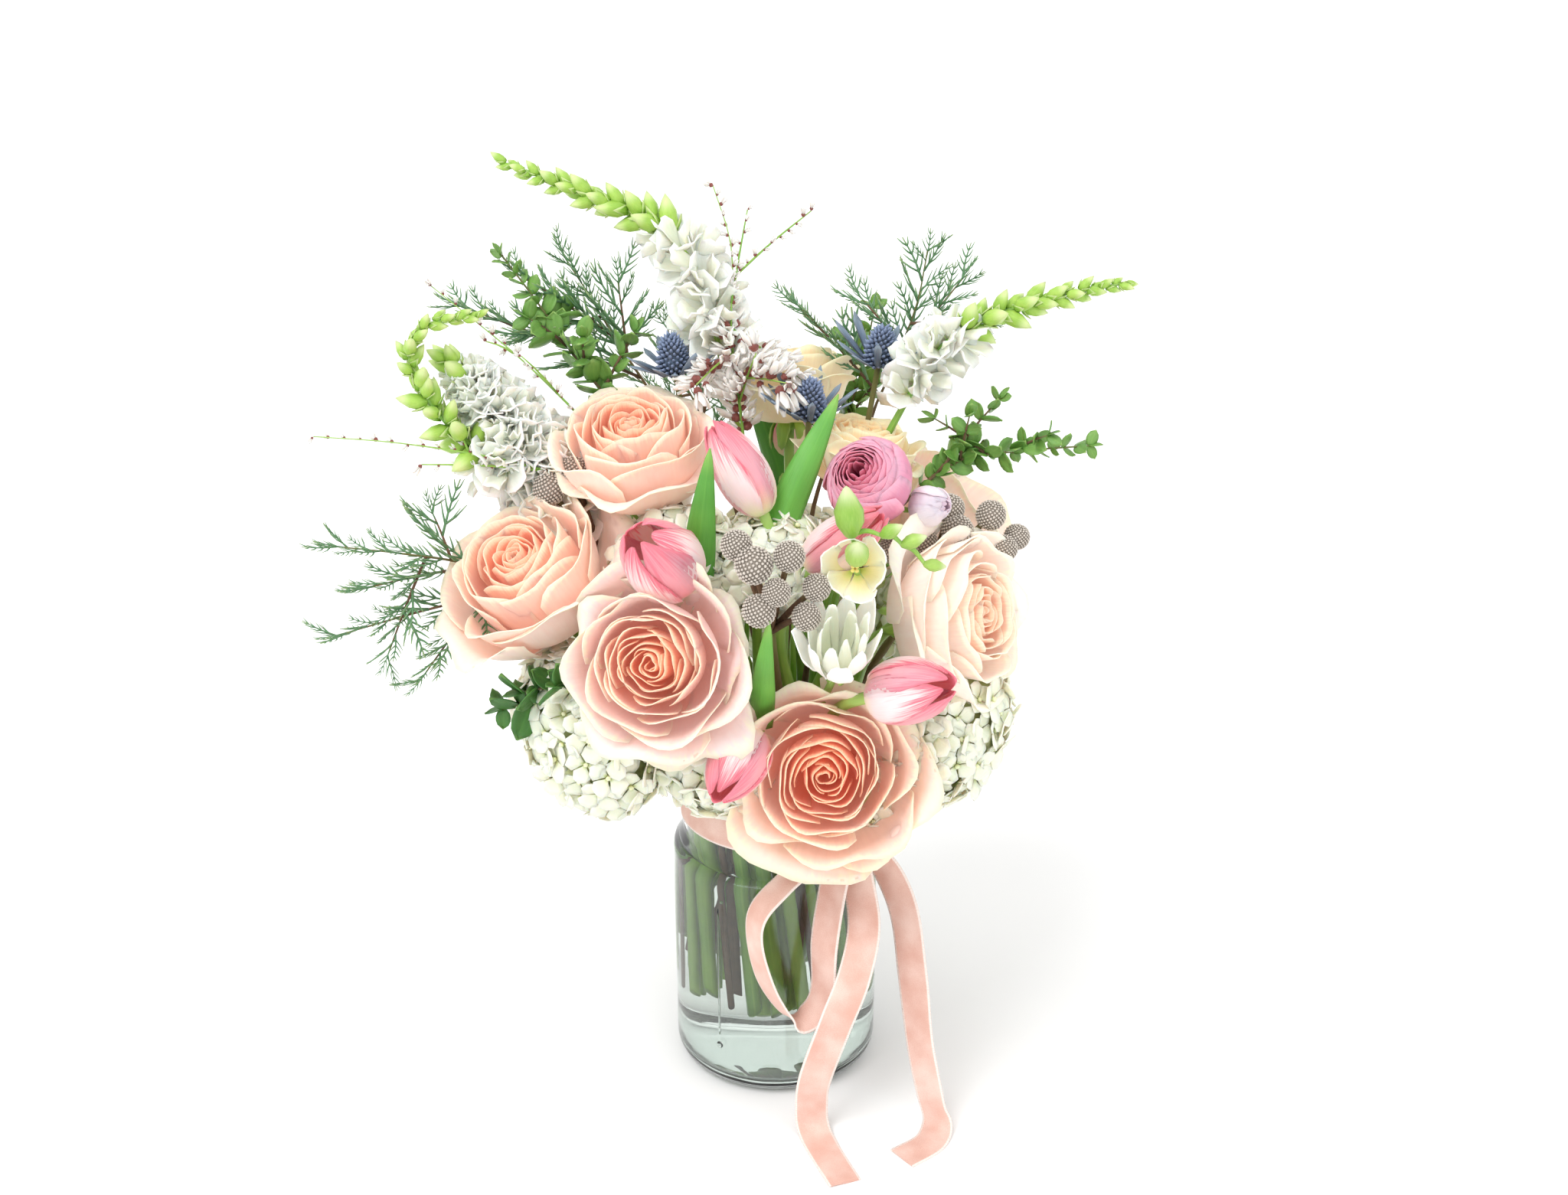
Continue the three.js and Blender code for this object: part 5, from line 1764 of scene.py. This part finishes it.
# ------------------------------------------------------------------------------------ the studio
@dataclass
class Studio:
    """The camera, soft light and pale floor."""

    LENS = 50.0
    TARGET = (0.004, 0.0, 0.235)
    DISTANCE = 0.968
    ELEVATION = 24.0
    FLOOR = 40.0

    def camera(self) -> None:
        """Sets the camera in front of the bouquet and above it."""
        data = bpy.data.cameras.new("camera")
        data.lens = self.LENS
        data.sensor_width = 36.0
        data.clip_start = 0.02
        data.clip_end = 50.0
        camera = bpy.data.objects.new("camera", data)
        tilt = math.radians(self.ELEVATION)
        camera.location = (self.TARGET[0], self.TARGET[1] - self.DISTANCE * math.cos(tilt),
                           self.TARGET[2] + self.DISTANCE * math.sin(tilt))
        camera.rotation_euler = (math.pi / 2 - tilt, 0, 0)
        bpy.context.scene.collection.objects.link(camera)
        bpy.context.scene.camera = camera

    def light(self) -> None:
        """Sets a white surround and two broad soft lights."""
        scene = bpy.context.scene
        scene.view_settings.view_transform = "Standard"
        world = bpy.data.worlds.new("studio")
        scene.world = world
        world.use_nodes = True
        background = world.node_tree.nodes["Background"]
        background.inputs["Color"].default_value = (1, 1, 1, 1)
        background.inputs["Strength"].default_value = 1.0
        suns = (("key", (0.45, 0.5, -0.9), 0.55, 1.35), ("fill", (-0.7, 0.45, -0.5), 0.9, 0.35))
        for name, towards, spread, power in suns:
            lamp = bpy.data.lights.new(name, "SUN")
            lamp.angle = spread
            lamp.energy = power
            holder = bpy.data.objects.new(name, lamp)
            holder.rotation_euler = euler_of(basis(-np.array(towards)))
            scene.collection.objects.link(holder)

    def floor(self) -> None:
        """Lays the floor."""
        half = self.FLOOR
        mesh = bpy.data.meshes.new("floor")
        corners = [(-half, -half, 0), (half, -half, 0), (half, half, 0), (-half, half, 0)]
        mesh.from_pydata(corners, [], [(0, 1, 2, 3)])
        mesh.materials.append(FloorFinish("floor_white", Slot.FOLIAGE).material())
        floor = bpy.data.objects.new("floor", mesh)
        bpy.context.scene.collection.objects.link(floor)


# ------------------------------------------------------------------------------------ the bouquet
def roses() -> list[Rose]:
    """The nine garden roses."""
    pale = PetalFinish("rose_pale", Slot.ROSE, "#fcc6ae", "#fff0e6", "#f8f6d4", "#f8eec4")
    deep = PetalFinish("rose_salmon", Slot.ROSE, "#f79a7c", "#fcdccf", "#f6efc6", "#f6e2b2")
    lemon = PetalFinish("rose_lemon", Slot.ROSE, "#fbcb98", "#fdeccb", "#f6f3c6", "#eee6a4")
    lilac = PetalFinish("rose_blush", Slot.ROSE, "#f8a98e", "#fae0dc", "#f4efc6", "#f5e4b6")
    return [
        Rose("rose_top_left", (-0.12, -0.28, 0.95), 32, 43.2, 21),
        Rose("rose_left", (-0.4, -0.38, 0.83), 36, 48.6, 22),
        Rose("rose_front_left", (-0.17, -0.92, 0.36), 34, 45.9, 23, finish=lilac),
        Rose("rose_front_low", (-0.03, -0.95, 0.3), 37, 44, 24, finish=deep),
        Rose("rose_right", (0.83, -0.48, 0.28), 36, 44, 25, finish=pale),
        Rose("rose_top_back", (0.02, 0.3, 0.95), 27, 36.45, 26, finish=lemon),
        Rose("rose_top_centre", (0.14, 0.06, 0.99), 23, 31.05, 27, finish=lemon),
        Rose("rose_back_left", (-0.62, 0.68, 0.4), 34, 45.9, 28, finish=pale),
        Rose("rose_back_right", (0.7, 0.62, 0.36), 35, 47.25, 29),
    ]


def tulips() -> list[Tulip]:
    """The six tulips."""
    return [
        Tulip("tulip_left", (-0.4, -0.55, 0.73), 18.5, 42, 31, opening=0.28, leaf_width=14),
        Tulip("tulip_top", (-0.5, 0.3, 0.81), 13, 44, 32, leaf_width=15),
        Tulip("tulip_centre_right", (0.7, -0.25, 0.67), 13, 43, 33),
        Tulip("tulip_right", (0.76, -0.52, 0.38), 16, 41, 34, opening=0.25),
        Tulip("tulip_low", (-0.42, -0.82, -0.38), 14.5, 38, 35, leaf_width=11),
        Tulip("tulip_back", (0.05, 0.66, 0.75), 14, 42, 36, leaf_width=14),
    ]


def hydrangeas() -> list[Hydrangea]:
    """The nine hydrangea heads."""
    sizes = [
        ("front_left", (-0.78, -0.55, -0.28), 40, 56), ("upper_left", (-0.35, -0.5, 0.79), 27, 40.5),
        ("centre", (-0.15, -0.45, 0.88), 25, 37.5), ("rim", (-0.3, -0.85, -0.42), 25, 36),
        ("right", (0.83, -0.5, -0.26), 36, 50), ("under", (0.25, -0.72, -0.65), 20, 32),
        ("back_left", (-0.76, 0.62, -0.2), 38, 54), ("back_right", (0.7, 0.68, -0.22), 38, 54),
        ("back", (0, 0.99, -0.06), 40, 54),
    ]
    return [Hydrangea(f"hydrangea_{name}", facing, radius, height, 41 + i, 3.4, florets=int(radius * 3.0))
            for i, (name, facing, radius, height) in enumerate(sizes)]


def heads() -> list[Flower]:
    """Every plant whose head is one flower."""
    return [
        *roses(), *tulips(), *hydrangeas(),
        Ranunculus("ranunculus", (-0.36, -0.66, 0.66), 20, 34, 51, 2.3),
        Freesia("freesia", (-0.05, -0.92, 0.38), 12, 18, 52, 1.7),
        Lisianthus("lisianthus", (0.03, -0.62, 0.78), 15, 36, 53, 2.0),
        Eryngium("eryngium_left", (-0.12, -0.05, 0.99), 7, 19, 54, 1.4),
        Eryngium("eryngium_centre", (0.03, -0.05, 0.99), 7, 19, 55, 1.4),
        Eryngium("eryngium_right", (0.12, 0, 0.99), 7, 19, 56, 1.4),
    ]


def others() -> list[Brunia | Spike | Sprig]:
    """The brunias, the flower spikes and the sprigs."""
    return [
        Brunia("brunia_centre", 61, (
            (-15, -84, 295, 6.6), (-8, -90, 289, 7.8), (6, -88, 292, 6.6), (1, -94, 279, 6),
            (17, -87, 278, 6),
            (-6, -94, 271, 7), (13, -91, 267, 6.2))),
        Brunia("brunia_left", 62, ((-97, -8, 290, 7.4), (-87, -4, 296, 7.2), (-92, 6, 286, 6))),
        Brunia("brunia_right", 63, (
            (76, -6, 280, 6.6), (79, -12, 272, 7.2), (64, -14, 268, 6.6), (50, -24, 268, 6.2),
            (94, -4, 276, 6.8),
            (100, -8, 262, 6.2), (106, -2, 265, 6))),
        Spike("snapdragon_top", 64, ((-24, 42, 334), (-34, 50, 372), (-56, 58, 391), (-84, 64, 401),
                                     (-118, 70, 413)),
              11, 0.42, 46),
        Spike("snapdragon_left", 65, ((-116, 0, 296), (-140, -4, 318), (-154, -6, 346), (-145, -4, 362),
                                      (-126, 0, 364)),
              9, 0.12, 36),
        Spike("snapdragon_right", 66, ((58, 28, 318), (72, 32, 340), (92, 34, 353), (120, 36, 362),
                                       (152, 38, 368)),
              10, 0.34, 40),
        Spike("stock_left", 67, ((-92, 14, 276), (-110, 12, 300), (-128, 10, 328), (-140, 8, 342)), 17, 0.85,
              40, 2.4, True),
        Genista("genista_centre", 68, ((-14, 22, 305), (-19, 34, 345), (-19, 50, 380), (-27, 58, 406)),
                ((-8, 20, 342), (6, 14, 330), (-34, 12, 330), (14, 26, 326), (-12, 56, 396), (16, 62, 394))),
        Genista("genista_left_long", 69, ((-86, -2, 292), (-120, -8, 304), (-160, -14, 313),
                                          (-194, -20, 318)),
                ((-150, -16, 304), (-136, -4, 316)), 6.0),
        Genista("genista_left_short", 70, ((-88, 16, 318), (-112, 18, 342), (-147, 20, 372)),
                ((-108, 6, 345), (-126, 30, 344)), 6.0),
        Boxwood("boxwood_left", 71, ((-70, 32, 312), (-88, 42, 332), (-104, 50, 354), (-121, 56, 376)),
                ((-62, 44, 344), (-84, 30, 346), (-108, 38, 352), (-98, 62, 350))),
        Boxwood("boxwood_right", 72, ((64, 10, 284), (82, 12, 296), (110, 12, 300), (137, 10, 303)),
                ((98, 18, 322), (84, 6, 318), (70, 20, 312), (118, 4, 310)), 5.0, 10.0),
        Boxwood("boxwood_back", 73, ((22, 70, 268), (34, 84, 292), (42, 92, 318), (46, 96, 340)),
                ((20, 92, 314), (58, 86, 320), (30, 104, 322))),
        Cypress("cypress_top_right", 74, ((44, 54, 302), (56, 60, 330), (64, 64, 352), (68, 66, 375)),
                ((10, 66, 350), (84, 66, 362), (38, 66, 354), (92, 60, 342))),
        Cypress("cypress_top_left", 75, ((-56, 54, 312), (-72, 60, 336), (-84, 64, 356), (-94, 66, 372)),
                ((-142, 64, 350), (-70, 60, 362), (-116, 62, 366), (-112, 54, 338))),
        Cypress("cypress_left", 76, ((-104, -4, 236), (-130, -14, 256), (-158, -24, 266), (-186, -30, 272)),
                ((-188, -38, 234), (-152, -44, 216), (-176, -34, 254), (-148, -10, 280), (-166, -42, 226)),
                size=27.0),
        Cypress("cypress_back", 77, ((-22, 78, 256), (-34, 96, 284), (-46, 106, 306), (-52, 110, 330)),
                ((-18, 108, 302), (-70, 100, 308), (-28, 112, 322), (-60, 92, 292)), size=26.0),
        LeafTwig("leaf_twig_left", 78, ((-66, -50, 214), (-84, -58, 220), (-102, -56, 212), (-116, -52, 206)),
                 ((-88, -70, 226), (-106, -60, 218))),
    ]


def main() -> None:
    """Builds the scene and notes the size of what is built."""
    logging.basicConfig(level=logging.INFO, format="%(message)s")
    studio = Studio()
    studio.camera()
    studio.light()
    studio.floor()
    Jar().build()
    Ribbon().build()
    bunch = Bunch()
    flowers = heads()
    for flower in flowers:
        flower.claim(bunch)
    for flower in flowers:
        flower.grow_stem(bunch)
        flower.build(bunch)
    for plant in others():
        plant.build(bunch)
    bunch.dress()
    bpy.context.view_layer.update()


if __name__ == "__main__":
    main()
